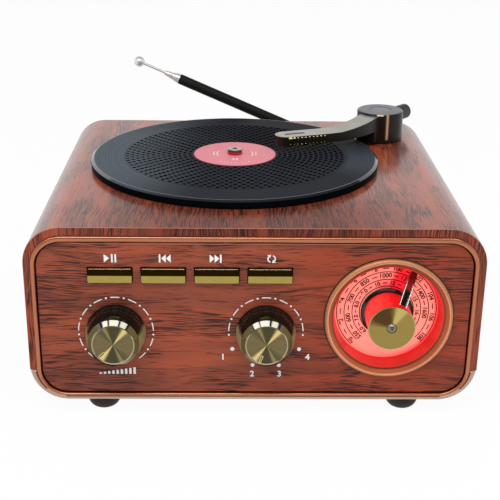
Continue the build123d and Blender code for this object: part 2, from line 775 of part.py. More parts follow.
pieces = {
    "cabinet_cover": make_cover(),
    "bottom_tray": make_tray(),
    "front_frame": make_front_frame(),
    "front_panel": make_front_panel(),
    "back_panel": make_back_panel(),
    "cleats": make_cleats(),
    "back_screws": make_back_screws(),
    "feet": make_feet(),
    "foot_screws": make_foot_screws(),
    "dial_bezel": make_bezel(),
    "dial_well": make_well(),
    "dial_plate": make_plate(),
    "dial_lamps": make_lamps(),
    "tuning_control": make_tuning_control(),
    "tuning_shaft": make_tuning_shaft(),
    "tuning_knob": make_tuning_knob(),
    "tuning_screw": make_tuning_screw(),
    "tuning_pointer": make_pointer(),
    "volume_pot": make_control(volume_x, 8.0, 9.0),
    "volume_shaft": make_control_shaft(volume_x),
    "volume_knob": make_knob(volume_x),
    "band_switch": make_control(band_x, 10.0, 7.0),
    "band_shaft": make_control_shaft(band_x),
    "band_knob": make_knob(band_x),
    "shaft_nuts": make_nuts(),
    "button_board": make_button_board(),
    "tact_switches": make_switches(),
    "record_disc": make_disc(),
    "record_label": make_label(),
    "spindle": make_spindle(),
    "spindle_bridge": make_bridge(),
    "spindle_bush": make_spindle_bush(),
    "disc_motor": make_disc_motor(),
    "speaker_frame": make_speaker_frame(),
    "speaker_magnet": make_magnet(),
    "speaker_cone": make_cone(),
    "speaker_surround": make_surround(),
    "speaker_screws": make_speaker_screws(),
    "tonearm": make_tonearm(),
    "stylus": make_stylus(),
    "tonearm_inlay": make_inlay(),
    "counterweight": make_counterweight(),
    "tonearm_shaft": make_tonearm_shaft(),
    "tonearm_bush": make_tonearm_bush(),
    "antenna_bracket": make_antenna_bracket(),
    "antenna_hub": make_antenna_hub(),
    "antenna_pin": make_antenna_pin(),
    "antenna_mast": make_mast(),
    "antenna_section_1": make_section(0, 15, mast_length + running_gap + nose_length, (2.7, 1.85)),
    "antenna_section_2": make_section(1, 22, mast_length + 2 * (running_gap + nose_length), (1.75, 1.15)),
    "antenna_section_3": make_last_section(),
    "main_board": make_main_board(),
    "usb_socket": make_socket(usb_x, 13.2, 6.0, 14.0, 0.4, 1.8),
    "charge_socket": make_socket(charge_x, 9.0, 3.2, 7.4, 0.3, 0.7),
    "battery": make_battery(),
    "ferrite_rod": make_ferrite_rod(),
}
for name, x in zip(("play_button", "back_button", "next_button", "source_button"), button_places()):
    pieces[name] = make_button(x)

os.makedirs("parts", exist_ok=True)
for name, shape in pieces.items():
    export_step(shape, f"parts/{name}.step")
print(len(pieces), "pieces")
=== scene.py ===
from math import atan2, cos, hypot, pi, radians, sin

import bmesh
import bpy
from mathutils import Matrix, Vector


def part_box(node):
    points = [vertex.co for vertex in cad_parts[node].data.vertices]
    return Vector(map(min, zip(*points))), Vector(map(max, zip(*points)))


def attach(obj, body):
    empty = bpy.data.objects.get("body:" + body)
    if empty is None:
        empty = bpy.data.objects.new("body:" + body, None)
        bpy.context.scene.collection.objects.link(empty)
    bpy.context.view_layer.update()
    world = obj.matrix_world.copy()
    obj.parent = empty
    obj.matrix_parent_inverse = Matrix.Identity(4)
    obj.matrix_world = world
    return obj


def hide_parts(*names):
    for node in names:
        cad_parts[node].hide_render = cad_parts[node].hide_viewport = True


# A small rosewood radio in the shape of a record player. Sizes are in millimetres until a mesh is finished.

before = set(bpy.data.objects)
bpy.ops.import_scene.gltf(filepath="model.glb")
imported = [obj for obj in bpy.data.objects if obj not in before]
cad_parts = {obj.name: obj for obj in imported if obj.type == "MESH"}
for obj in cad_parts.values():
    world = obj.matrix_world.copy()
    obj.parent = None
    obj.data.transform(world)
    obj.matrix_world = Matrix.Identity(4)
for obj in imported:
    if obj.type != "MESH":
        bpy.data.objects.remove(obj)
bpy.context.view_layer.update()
mm = 0.001
finish = {}  # every material by its name


def spanOf(node):
    # a node's lowest and highest corners
    low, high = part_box(node)
    return low / mm, high / mm


def centreOf(node):
    low, high = spanOf(node)
    return (low + high) / 2


caseLow, caseHigh = spanOf("cabinet_cover")
frontY, rearY, topZ = caseLow.y, caseHigh.y, caseHigh.z
trayZ = spanOf("bottom_tray")[0].z
boardLow, boardHigh = spanOf("front_panel")
dialSpot = centreOf("dial_plate")
discSpot = centreOf("record_disc")
discTop = spanOf("record_disc")[1].z
pivotSpot = centreOf("tonearm_inlay")
drumTop = spanOf("tonearm")[1].z
print("frame loaded:", len(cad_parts), "nodes")


class Link:
    # an output socket that plain arithmetic can use
    def __init__(self, graph, socket):
        self.graph = graph
        self.socket = socket

    def maths(self, operation, *values):
        return self.graph.node("ShaderNodeMath", {"operation": operation}, dict(enumerate(values)))

    def __add__(self, other):
        return self.maths("ADD", self, other)

    def __sub__(self, other):
        return self.maths("SUBTRACT", self, other)

    def __mul__(self, other):
        return self.maths("MULTIPLY", self, other)

    def __truediv__(self, other):
        return self.maths("DIVIDE", self, other)

    def __pow__(self, other):
        return self.maths("POWER", self, other)

    def __neg__(self):
        return self.maths("MULTIPLY", self, -1.0)

    def __abs__(self):
        return self.maths("ABSOLUTE", self)

    def __radd__(self, other):
        return self.maths("ADD", other, self)

    def __rsub__(self, other):
        return self.maths("SUBTRACT", other, self)

    def __rmul__(self, other):
        return self.maths("MULTIPLY", other, self)

    def rise(self, low, high):
        # 0 below low, 1 above high, and a smooth step between
        return self.graph.node(
            "ShaderNodeMapRange", {"interpolation_type": "SMOOTHSTEP"},
            {"Value": self, "From Min": low, "From Max": high},
        )

    def fall(self, low, high):
        return 1.0 - self.rise(low, high)

    def spread(self, low, high):
        # turns 0 to 1 into low to high
        return self * (high - low) + low

    def farFrom0(self, other):
        # how far the point of these two coordinates is from the middle
        return self.maths("SQRT", self * self + other * other + 0.0001)


class Graph:
    # the nodes of a material or a world
    def __init__(self, owner):
        owner.use_nodes = True
        self.tree = owner.node_tree

    def feed(self, socket, value):
        if isinstance(value, str):
            value = self.tones[value]
        if isinstance(value, Link):
            self.tree.links.new(value.socket, socket)
        elif socket.type == "RGBA":
            socket.default_value = (*value, 1.0)
        else:
            socket.default_value = value

    def node(self, kind, settings=None, values=None, output=0):
        made = self.tree.nodes.new(kind)
        for name, value in (settings or {}).items():
            setattr(made, name, value)
        for socket, value in (values or {}).items():
            self.feed(made.inputs[socket], value)
        return Link(self, made.outputs[output])


class Paint(Graph):
    # one material: fixed values go straight on the shader's sockets, and what varies is linked
    def __init__(self, name, tones=None, specular=0.5, **sockets):
        self.tones = tones  # its colours by name
        finish[name] = bpy.data.materials.new(name)
        super().__init__(finish[name])
        self.shader = self.tree.nodes["Principled BSDF"]
        self.shader.inputs["Specular IOR Level"].default_value = specular
        self.set(**sockets)

    def set(self, **sockets):
        for name, value in sockets.items():
            label = "".join(" " + c if c.isupper() else c for c in name).strip()
            self.feed(self.shader.inputs[label[0].upper() + label[1:]], value)

    def place(self):
        # the piece's own coordinates, in millimetres
        spot = self.node("ShaderNodeTexCoord", output="Object")
        return self.node("ShaderNodeVectorMath", {"operation": "SCALE"}, {0: spot, "Scale": 1 / mm})

    def split(self, vector):
        return [self.node("ShaderNodeSeparateXYZ", values={0: vector}, output=i) for i in range(3)]

    def axes(self):
        return self.split(self.place())

    def facing(self):
        # the surface's direction in the piece's own axes
        return self.split(self.node("ShaderNodeTexCoord", output="Normal"))

    def clamped(self, value, low=0.0, high=1.0):
        return self.node("ShaderNodeClamp", values={0: value, 1: low, 2: high})

    def vector(self, x, y, z):
        return self.node("ShaderNodeCombineXYZ", values={0: x, 1: y, 2: z})

    def noise(self, spot, scale=1.0, detail=3.0, rough=0.5):
        return self.node("ShaderNodeTexNoise", values={
            "Vector": spot, "Scale": scale, "Detail": detail, "Roughness": rough,
        })

    def smear(self, scale, detail=2.0):
        return self.noise(self.place(), scale, detail)

    def rings(self, distance, often):
        return self.noise(self.vector(distance * often, 0.0, 0.0))

    def blend(self, amount, first, second, kind="MIX"):
        return self.node(
            "ShaderNodeMix", {"data_type": "RGBA", "blend_type": kind},
            {0: amount, 6: first, 7: second}, output=2,
        )

    def layers(self, tone, *coats):
        # lays each coat's colour over the last, as far as its mask says
        for mask, colour in coats:
            tone = self.blend(mask, tone, colour)
        return tone

    def bump(self, height, depth, strength=0.5):
        # height runs from 0 to 1, and depth is its real size in millimetres
        return self.node(
            "ShaderNodeBump", values={"Height": height, "Distance": depth * mm, "Strength": strength},
        )


# the edge colour is a painted highlight; the shade colour darkens grain and also lays painted shade where a
# caller asks
rosewoodTones = {
    "light": (0.405, 0.083, 0.036), "dark": (0.245, 0.058, 0.032), "shade": (0.110, 0.025, 0.016),
    "streak": (0.036, 0.010, 0.008), "edge": (0.72, 0.36, 0.27), "warmth": (0.86, 0.58, 0.45),
}
# how often each repeats over and along a millimetre of wood, its own offset, its detail and its roughness
rosewoodGrain = {
    "warp": (0.05, 0.022, 3.0, 1.0, 0.5), "fibre": (3.4, 0.06, 0.0, 3.0, 0.6),
    "figure": (0.11, 0.010, 7.0, 3.0, 0.55), "cluster": (0.085, 0.020, 11.0, 2.0, 0.5),
    "long": (2.2, 0.040, 17.0, 2.0, 0.5), "short": (2.7, 0.085, 23.0, 1.0, 0.5),
}


def rosewood(paint, across, along, seed, edge, dense=0.0, shade=0.0, warm=0.0):
    # slow bands of colour, and dark pores that gather in clusters; shade lays painted shade and edge a
    # painted highlight
    def grain(kind, side):
        over, down, offset, detail, rough = rosewoodGrain[kind]
        return paint.noise(paint.vector(side * over, along * down, seed + offset), 1.0, detail, rough)

    bent = across + grain("warp", across) * 9.0
    fibre = grain("fibre", bent)
    gate = (grain("cluster", bent) + dense).rise(0.44, 0.56)
    streaks = (grain("long", bent) + gate * 0.105).rise(0.650, 0.672)
    ticks = (grain("short", bent) + gate * 0.112).rise(0.665, 0.688)
    pores = paint.clamped(streaks + ticks)
    tone = paint.layers(
        "light", (grain("figure", bent).rise(0.36, 0.66), "dark"),
        (fibre.rise(0.40, 0.80) * 0.26, "shade"), (gate * 0.10, "shade"), (shade, "shade"),
    )
    tone = paint.blend(warm, tone, "warmth", "MULTIPLY")
    paint.set(
        baseColor=paint.layers(tone, (pores * 0.92, "streak"), (edge, "edge")),
        roughness=fibre.spread(0.34, 0.48), normal=paint.bump(fibre * 0.6 - pores * 0.8, 0.03, 0.4),
    )


def frontWood():
    # a painted highlight runs as a light line along the board's top edge, and the wood is redder towards the
    # dial
    paint = Paint("rosewoodFront", rosewoodTones, specular=0.2, coatWeight=0.08, coatRoughness=0.25)
    x, y, z = paint.axes()
    top = boardHigh.z
    line = z.rise(top - 0.80, top - 0.60) * z.fall(top - 0.45, top - 0.25) * abs(x).fall(72.0, 82.0)
    rosewood(paint, z + y, x, seed=27.0, edge=line * 0.5, warm=x.rise(0.0, 34.0) * 0.75)


def wrapWood():
    # the veneer goes round the case, so its cross grain is measured along the wrap
    paint = Paint("rosewoodWrap", rosewoodTones, specular=0.15, coatRoughness=0.16)
    x, y, z = paint.axes()
    side = paint.clamped(x / 25.0, -1.0, 1.0)
    lip = y.fall(frontY + 0.15, frontY + 0.35)
    across = (x + side * (topZ - z)) * (1.0 - lip) + x * lip
    along = y * (1.0 - lip) + z * lip
    forward = -paint.facing()[1]
    # edge is a painted highlight where the rounded front edge turns towards the lamps
    edge = forward.rise(0.15, 0.40) * forward.fall(0.75, 0.95) * y.fall(frontY + 0.4, frontY + 0.6)
    # middle is painted shadow: the strip in front of the disc gets darker wood, denser pores and less coat,
    # as in the disc's shadow
    middle = abs(x).fall(30.0, 88.0) * y.fall(frontY + 16.0, frontY + 60.0)
    paint.set(coatWeight=0.70 * (1.0 - middle * 0.88) * (1.0 - lip * 0.92))
    rosewood(paint, across, along, seed=40.0, edge=edge * 0.6, dense=middle * 0.12, shade=middle * 0.56)


def metal(name, colour, roughness, wear=0.06, depth=0.004, metallic=1.0, coatWeight=0.0):
    paint = Paint(name, metallic=metallic, coatWeight=coatWeight)
    smear = paint.smear(0.12, 3.0)
    paint.set(
        baseColor=paint.blend(smear, colour, tuple(c * 0.86 for c in colour)),
        roughness=smear.spread(roughness - wear / 2, roughness + wear),
        normal=paint.bump(paint.smear(1.6, 4.0), depth, 0.4),
    )


def plastic(name, colour, roughness, grain=2.5, depth=0.02, specular=0.5, coatWeight=0.0):
    paint = Paint(name, specular=specular, coatWeight=coatWeight)
    texture = paint.smear(grain, 3.0)
    lighter = tuple(min(1.0, c * 1.18 + 0.002) for c in colour)
    paint.set(
        baseColor=paint.blend(paint.smear(0.08, 3.0), colour, lighter),
        roughness=texture.spread(roughness - 0.04, roughness + 0.06), normal=paint.bump(texture, depth),
    )


def aroundAxis(paint, spot):
    # distance from an axis along Y, and the sideways and upward parts of that direction
    x, y, z = paint.axes()
    across, up = x - spot.x, z - spot.z
    distance = across.farFrom0(up)
    return distance, across / distance, up / distance


def towards(across, up, angle):
    # most where the direction is this many degrees clockwise from the top
    return across * sin(radians(angle)) + up * cos(radians(angle))


knobTones = {
    "face": (0.078, 0.070, 0.038), "faceSideReflection": (0.190, 0.148, 0.072), "fan": (0.88, 0.68, 0.28),
    "side": (0.004, 0.003, 0.002), "sideSmear": (0.009, 0.007, 0.004), "flank": (0.30, 0.245, 0.105),
    "bevel": (0.170, 0.160, 0.135), "bevelSideReflection": (0.130, 0.100, 0.040), "rim": (0.50, 0.41, 0.26),
    "fans": ((38, 60, 0.80), (-24, 90, 0.34), (-62, 40, 0.10), (80, 30, 0.08)),  # angle, sharpness, strength
}


def spunGold(name, spot):
    # painted reflections: light sectors from its centre and lighter left and right parts, as turned metal
    # shows under lamps
    paint = Paint(name, knobTones, metallic=1.0, roughness=0.34)
    distance, across, up = aroundAxis(paint, spot)
    light = 0.0
    for angle, sharp, strength in knobTones["fans"]:
        light = light + abs(towards(across, up, angle)) ** sharp * strength
    rings = paint.rings(distance, 9.0)
    fans = (light + rings * 0.10).rise(0.05, 1.0)
    tone = paint.layers("face", (abs(across).rise(0.35, 0.95), "faceSideReflection"), (fans, "fan"))
    paint.set(baseColor=tone, normal=paint.bump(rings, 0.012))


def knobSide(name, spot):
    # near-black, with a dark metal bevel and a rim round its face; painted reflections make its flanks gold
    # and turn the bevel gold towards them
    paint = Paint(name, knobTones, specular=0.25)
    distance, across, up = aroundAxis(paint, spot)
    flank = abs(across).rise(0.84, 0.94) * up.fall(0.15, 0.42)
    bevel, rim = distance.fall(10.50, 10.62), distance.fall(8.72, 8.80)
    smear = paint.smear(0.35)
    bevelTone = paint.blend(abs(across).rise(0.50, 0.72), "bevel", "bevelSideReflection")
    tone = paint.layers("side", (smear, "sideSmear"), (flank, "flank"), (bevel, bevelTone), (rim, "rim"))
    paint.set(
        baseColor=tone, metallic=paint.clamped(bevel + rim) * 0.95,
        roughness=smear.spread(0.07, 0.12) + flank * 0.30,
    )


tunerTones = {
    "gold": (0.33, 0.235, 0.062), "goldRing": (0.38, 0.275, 0.080), "shade": (0.100, 0.052, 0.018),
    "light": (0.60, 0.47, 0.15), "red": (0.52, 0.008, 0.008), "redLeft": (0.74, 0.034, 0.032),
    "glow": (0.70, 0.007, 0.007), "glowLeft": (0.92, 0.034, 0.030),
}


def tunerGold():
    # painted reflection: one sector of painted shade and one of painted highlight, each on one side of the
    # centre
    paint = Paint("tunerGold", tunerTones, metallic=1.0)
    distance, across, up = aroundAxis(paint, dialSpot)
    shade = towards(across, up, -36).rise(0.60, 0.95) * distance.rise(0.5, 3.0)
    light = towards(across, up, 24).rise(0.930, 0.998)
    rings = paint.rings(distance, 9.0)
    tone = paint.layers("gold", (rings, "goldRing"), (shade, "shade"), (light, "light"))
    paint.set(baseColor=tone, roughness=rings.spread(0.30, 0.38), normal=paint.bump(rings, 0.012))


def tunerRed():
    # painted reflection: the knob's side glows red as if it mirrored the lit dial round it, with a painted
    # highlight paler on the left
    paint = Paint(
        "tunerRed", tunerTones, specular=0.25, roughness=0.25, coatWeight=0.15, coatRoughness=0.08,
        emissionStrength=0.5,
    )
    left = (-aroundAxis(paint, dialSpot)[1]).rise(-0.2, 0.75)
    paint.set(
        baseColor=paint.blend(left, "red", "redLeft"),
        emissionColor=paint.blend(left, "glow", "glowLeft"),
    )


bezelTones = {
    "inner": (0.22, 0.040, 0.012), "hollow": (0.46, 0.170, 0.070), "outer": (0.60, 0.250, 0.115),
    "crest": (0.92, 0.54, 0.32), "smear": (0.30, 0.10, 0.04),
}


def bezelCopper():
    # a painted highlight along its ridge line, and painted shade that darkens the hollow inwards
    paint = Paint("bezelCopper", bezelTones, metallic=0.35, roughness=0.38, specular=0.3)
    distance = aroundAxis(paint, dialSpot)[0]
    crest = distance.rise(25.2, 25.4) * distance.fall(25.6, 25.9)
    paint.set(baseColor=paint.layers(
        "inner", (distance.rise(23.6, 24.6), "hollow"), (distance.rise(24.6, 25.4), "outer"),
        (crest * 0.9, "crest"), (paint.smear(0.10) * 0.25, "smear"),
    ))


pointerTones = {
    "metal": (0.62, 0.57, 0.53), "metalEnd": (0.045, 0.010, 0.010),
    "inlay": (0.004, 0.003, 0.003), "inlayEnd": (0.23, 0.016, 0.014),
}


def pointerPaints():
    # painted shade darkens the bright metal at its outer end, and a painted red reflection grows in the dark
    # inlay towards it
    metalPaint = Paint("pointerMetal", pointerTones, metallic=1.0)
    end = aroundAxis(metalPaint, dialSpot)[0].rise(20.7, 21.4)
    metalPaint.set(
        baseColor=metalPaint.blend(end, "metal", "metalEnd"),
        roughness=metalPaint.smear(0.5).spread(0.20, 0.30),
    )
    inlay = Paint("pointerInlay", pointerTones, specular=0.08, roughness=0.40)
    end = aroundAxis(inlay, dialSpot)[0].rise(14.2, 15.4)
    inlay.set(baseColor=inlay.blend(end, "inlay", "inlayEnd"))


dialTones = {
    "salmon": (0.80, 0.300, 0.240), "red": (0.90, 0.014, 0.030),
    "salmonGlow": (1.0, 0.250, 0.200), "redGlow": (1.0, 0.020, 0.038),
    "well": (0.52, 0.014, 0.010), "wellGlow": (0.72, 0.014, 0.009), "wellDim": 0.72,
}


def dialFace():
    # painted glow, standing for the lamps behind the dial: salmon, with painted brighter red in a wedge
    # beside the pointer and towards the edge
    paint = Paint("dialFace", dialTones, specular=0.15, roughness=0.4, emissionStrength=0.6)
    distance, across, up = aroundAxis(paint, dialSpot)
    wedge = towards(across, up, 21).rise(0.952, 0.993)
    inner = towards(across, up, 8).rise(0.78, 0.99) * distance.fall(11.5, 16.0)
    edge = distance.rise(19.5, 22.0) * (0.25 + across.rise(-0.4, 0.9) * 0.75)
    red = paint.clamped(wedge + inner * 0.75 + edge * 0.8)
    paint.set(
        baseColor=paint.blend(red, "salmon", "red"),
        emissionColor=paint.blend(red, "salmonGlow", "redGlow"),
    )


def wellRed():
    # the dial's wall, with a painted glow for the lamps' light, a little uneven
    paint = Paint("wellRed", dialTones, baseColor="well", roughness=0.3, emissionStrength=0.36)
    dim = tuple(c * dialTones["wellDim"] for c in dialTones["wellGlow"])
    paint.set(emissionColor=paint.blend(paint.smear(0.10).rise(0.3, 0.7), "wellGlow", dim))


vinylTones = {
    "web": (0.014, 0.016, 0.022), "pale": (0.120, 0.150, 0.176), "deep": (0.005, 0.005, 0.007),
    "ridge": (0.025, 0.029, 0.038), "ridgePaleReflection": (0.082, 0.095, 0.116), "rim": (0.003, 0.003, 0.004),
}


def vinyl(name, plain, pale):
    # hardly any shine but on the rim; painted reflections make it paler on the left and a little on the
    # right, and painted shade makes it darkest at the rear right
    paint = Paint(name, vinylTones, roughness=0.35, coatRoughness=0.08)
    paint.shader.inputs["IOR"].default_value = 1.06
    x, y, z = paint.axes()
    across, ahead = x - discSpot.x, y - discSpot.y
    distance = across.farFrom0(ahead)
    left = (-across / distance).rise(0.25, 0.95) * distance.rise(18.0, 56.0)
    right = (across / distance).rise(0.80, 1.0) * distance.rise(50.0, 56.0) * 0.45
    deep = ((across + ahead * 1.2) / distance).rise(0.9, 1.5)
    light = paint.clamped(left + right) * paint.rings(distance, 2.4).rise(0.15, 0.75)
    tone = paint.layers(plain, (light, pale), (deep * 0.75, "deep"))
    # its side, facing away from the top, is painted near-black as shade
    up = paint.facing()[2].rise(0.25, 0.55)
    paint.set(baseColor=paint.blend(up, "rim", tone), coatWeight=distance.rise(66.7, 67.1) * up)


armTones = {
    "side": (0.008, 0.006, 0.004), "sideSmear": (0.016, 0.011, 0.008), "top": (0.40, 0.375, 0.33),
    "topSmear": (0.30, 0.28, 0.255), "cap": (0.080, 0.077, 0.086), "streak": (0.20, 0.085, 0.038),
    "core": (0.62, 0.37, 0.20), "glint": (0.85, 0.74, 0.42), "streakAt": 12, "glintAt": -7,
}


def armMetal():
    # painted reflections: light flat tops and near-black sides by which way each face looks, a brown-gold
    # streak down the drum and a glint on its rim
    paint = Paint("armMetal", armTones, specular=0.18, coatRoughness=0.12)
    x, y, z = paint.axes()
    up = paint.facing()[2].rise(0.55, 0.80)
    across, ahead = x - pivotSpot.x, y - pivotSpot.y
    distance = across.farFrom0(ahead)
    rim = distance.rise(11.0, 11.25) * distance.fall(12.1, 12.3)
    height = rim * z.rise(topZ + 1.5, topZ + 3.0)
    line = towards(across, -ahead, armTones["streakAt"]) / distance
    glint = (towards(across, -ahead, armTones["glintAt"]) / distance).rise(0.985, 0.995)
    smear = paint.smear(0.12)
    sides = paint.blend(smear, "side", "sideSmear")
    tops = paint.layers("top", (smear, "topSmear"), (z.rise(drumTop - 1.2, drumTop - 0.8), "cap"))
    tone = paint.layers(
        sides, (up, tops), (line.rise(0.9945, 0.9985) * height * 0.85, "streak"),
        (line.rise(0.9988, 0.9999) * height, "core"),
        (glint * rim * z.rise(drumTop - 0.75, drumTop - 0.55), "glint"),
    )
    paint.set(baseColor=tone, metallic=up * 0.6, roughness=smear.spread(0.24, 0.36), coatWeight=up * 0.12)


spindleTones = {
    "side": (0.40, 0.018, 0.036), "band": (0.035, 0.018, 0.016),
    "top": (0.58, 0.56, 0.52), "topSmear": (0.30, 0.28, 0.25),
}


def spindleFinish():
    # painted reflections of a chrome pin: a silver top, a dark band under it and a red side that mirrors the
    # label
    paint = Paint("spindleFinish", spindleTones, specular=0.3, roughness=0.3)
    z, top = paint.axes()[2], spanOf("spindle")[1].z
    up = paint.facing()[2].rise(0.5, 0.8)
    silver = paint.blend(paint.smear(0.6), "top", "topSmear")
    band = z.rise(top - 1.15, top - 0.95)
    paint.set(baseColor=paint.layers("side", (band, "band"), (up, silver)), metallic=up * 0.8)


keyTones = {
    "lower": (0.36, 0.270, 0.062), "lowerSmear": (0.45, 0.350, 0.100), "upper": (0.016, 0.009, 0.001),
    "edge": (0.62, 0.56, 0.36),
}


def keyGold(name, spot):
    # painted reflection: the upper half is painted dark and the lower half light gold, with a painted
    # highlight along the top edge
    paint = Paint(name, keyTones, metallic=1.0)
    height = paint.axes()[2] - spot.z
    smear = paint.smear(0.4)
    tone = paint.layers(
        "lower", (smear, "lowerSmear"), (height.rise(0.10, 0.22), "upper"),
        (height.rise(2.95, 3.05) * 0.8, "edge"),
    )
    paint.set(baseColor=tone, roughness=smear.spread(0.20, 0.30))


# colour, roughness, wear, depth of the grain, metallic, coat
metals = {
    "copper": ((0.545, 0.205, 0.110), 0.30, 0.04, 0.0005),
    "bronze": ((0.57, 0.395, 0.300), 0.40, 0.05, 0.001),
    "chrome": ((0.78, 0.77, 0.75), 0.07, 0.03), "satin": ((0.84, 0.84, 0.83), 0.34, 0.04, 0.001, 0.55),
    "rimGold": ((0.60, 0.47, 0.24), 0.22, 0.04, 0.001), "screwMetal": ((0.30, 0.28, 0.19), 0.34, 0.05, 0.001),
    "beadGold": ((0.90, 0.74, 0.34), 0.16, 0.04, 0.001), "steel": ((0.55, 0.55, 0.56), 0.30),
    "deepBronze": ((0.075, 0.062, 0.045), 0.14, 0.05, 0.004, 1.0, 0.5), "brass": ((0.62, 0.43, 0.17), 0.28),
}
# colour, roughness, how fine the grain is, its depth, specular, coat
plastics = {
    "slotGrey": ((0.075, 0.080, 0.072), 0.55, 2.0, 0.01, 0.2),
    "foil": ((0.08, 0.16, 0.34), 0.35, 2.5, 0.02, 0.5, 0.5),
    "blackLacquer": ((0.0095, 0.010, 0.009), 0.52, 1.2, 0.006, 0.12),
    "blackGloss": ((0.010, 0.006, 0.006), 0.14, 0.5, 0.002),
    "blackPlastic": ((0.018, 0.018, 0.019), 0.48, 3.0, 0.05),
    "rubber": ((0.014, 0.010, 0.008), 0.55, 2.0, 0.05, 0.3),
    "violet": ((0.078, 0.072, 0.118), 0.22, 0.5, 0.002, 0.3),
    "magnet": ((0.03, 0.03, 0.032), 0.6, 2.0, 0.05), "conePaper": ((0.012, 0.012, 0.012), 0.8, 1.5, 0.1),
    "board": ((0.02, 0.10, 0.035), 0.4, 1.0, 0.02), "softwood": ((0.55, 0.38, 0.20), 0.7, 0.7, 0.1),
    "label": ((0.70, 0.222, 0.264), 0.45, 3.0, 0.01, 0.2), "labelEdge": ((0.25, 0.01, 0.025), 0.4, 3.0, 0.01),
    "whitePrint": ((0.86, 0.86, 0.84), 0.5, 3.0, 0.005),
    "darkPrint": ((0.085, 0.004, 0.006), 0.6, 3.0, 0.005, 0.05),
}
for name, row in metals.items():
    metal(name, *row)
for name, row in plastics.items():
    plastic(name, *row)
for make in (
    frontWood, wrapWood, tunerGold, tunerRed, bezelCopper, pointerPaints, dialFace, wellRed, armMetal,
    spindleFinish,
):
    make()
vinyl("vinyl", "web", "pale")
vinyl("vinylRidge", "ridge", "ridgePaleReflection")
print("materials made:", len(finish))


def lathe(profile, steps=96, loop=False):
    # turns (radius, height) points about Z
    bm = bmesh.new()
    points = [bm.verts.new((radius, 0, height)) for radius, height in profile]
    pairs = list(zip(points, points[1:]))
    if loop:
        pairs.append((points[-1], points[0]))
    for first, second in pairs:
        bm.edges.new((first, second))
    bmesh.ops.spin(
        bm, geom=bm.verts[:] + bm.edges[:], cent=(0, 0, 0), axis=(0, 0, 1), angle=2 * pi, steps=steps,
        use_merge=True,
    )
    bmesh.ops.remove_doubles(bm, verts=bm.verts, dist=0.0005)
    bmesh.ops.recalc_face_normals(bm, faces=bm.faces)
    return bm


def pick(sizes, names):
    return [sizes[name] for name in names.split()]


def moved(points, radius, height):
    # a profile's points, measured from this one
    return [(radius + outward, height + up) for outward, up in points]


def roundEdges(bm, size, segments=2, sharper=30, where=None):
    edges = [
        edge for edge in bm.edges
        if len(edge.link_faces) == 2 and edge.calc_face_angle() > radians(sharper)
        and (where is None or where(edge))
    ]
    bmesh.ops.bevel(
        bm, geom=edges, offset=size, offset_type="OFFSET", segments=segments, profile=0.5, affect="EDGES",
        material=-1, clamp_overlap=False,
    )


def cadCopy(node):
    # a node's triangles joined again, with fewer on its flat faces
    bm = bmesh.new()
    bm.from_mesh(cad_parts[node].data)
    bmesh.ops.scale(bm, vec=(1 / mm, 1 / mm, 1 / mm), verts=bm.verts)
    bmesh.ops.remove_doubles(bm, verts=bm.verts, dist=0.002)
    bmesh.ops.dissolve_limit(bm, angle_limit=radians(0.4), verts=bm.verts, edges=bm.edges)
    bmesh.ops.triangulate(bm, faces=bm.faces)  # a face round a hole doesn't survive the rounding whole
    return bm


def thicken(bm, faces, height):
    made = bmesh.ops.extrude_face_region(bm, geom=faces)
    lifted = [item for item in made["geom"] if isinstance(item, bmesh.types.BMVert)]
    bmesh.ops.translate(bm, vec=(0, 0, height), verts=lifted)
    bmesh.ops.recalc_face_normals(bm, faces=bm.faces)


def capsule(length, radius, steps, height):
    # a long block with round ends, along X
    bm = bmesh.new()
    made = bmesh.ops.create_circle(bm, cap_ends=True, radius=radius, segments=steps)
    far = [vert for vert in made["verts"] if vert.co.x > -0.001]
    near = [vert for vert in made["verts"] if vert not in far]
    bmesh.ops.translate(bm, vec=(length / 2, 0, 0), verts=far)
    bmesh.ops.translate(bm, vec=(-length / 2, 0, 0), verts=near)
    thicken(bm, made["verts"][0].link_faces[:1], height)
    return bm


def meshOf(bm, name):
    mesh = bpy.data.meshes.new(name)
    bm.to_mesh(mesh)
    bm.free()
    return mesh


def addTo(bm, shape, place):
    bmesh.ops.transform(shape, matrix=place, verts=shape.verts)
    mesh = meshOf(shape, "part")
    bm.from_mesh(mesh)
    bpy.data.meshes.remove(mesh)


def inScene(name, data):
    made = bpy.data.objects.new(name, data)
    bpy.context.scene.collection.objects.link(made)
    return made


def settle(bm, name, body, paint, slot, place=None, stands=None, smooth=35):
    # turns a finished shape into a piece that rides on its body and may stand for a node
    if place is not None:
        bmesh.ops.transform(bm, matrix=place, verts=bm.verts)
    bmesh.ops.scale(bm, vec=(mm, mm, mm), verts=bm.verts)
    mesh = meshOf(bm, name)
    mesh.shade_smooth()
    mesh.set_sharp_from_angle(angle=radians(smooth))
    mesh.materials.append(finish[paint])
    piece = inScene(name, mesh)
    piece.modifiers.new("evenFaces", "WEIGHTED_NORMAL").keep_sharp = True
    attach(piece, body)
    if stands:
        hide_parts(stands)


def shifted(x, y, z):
    return Matrix.Translation((x, y, z))


def turned(angle):
    # clockwise, in degrees
    return Matrix.Rotation(-radians(angle), 4, "Z")


def atFront(spot):
    # faces a shape forward, with its zero on the case's front plane
    return shifted(spot.x, frontY, spot.z) @ Matrix.Rotation(pi / 2, 4, "X")


def lettering(bm, words, size, place, height, bold):
    # plain numerals as a raised print, centred on place
    curve = bpy.data.curves.new("numerals", "FONT")
    curve.body, curve.size = words, size
    curve.align_x, curve.align_y = "CENTER", "CENTER"
    curve.extrude, curve.offset = height / 2, bold
    holder = inScene("numerals", curve)
    bpy.context.view_layer.update()
    mesh = bpy.data.meshes.new_from_object(holder.evaluated_get(bpy.context.evaluated_depsgraph_get()))
    mesh.transform(place)
    bm.from_mesh(mesh)
    bpy.data.objects.remove(holder)
    bpy.data.meshes.remove(mesh)
    bpy.data.curves.remove(curve)


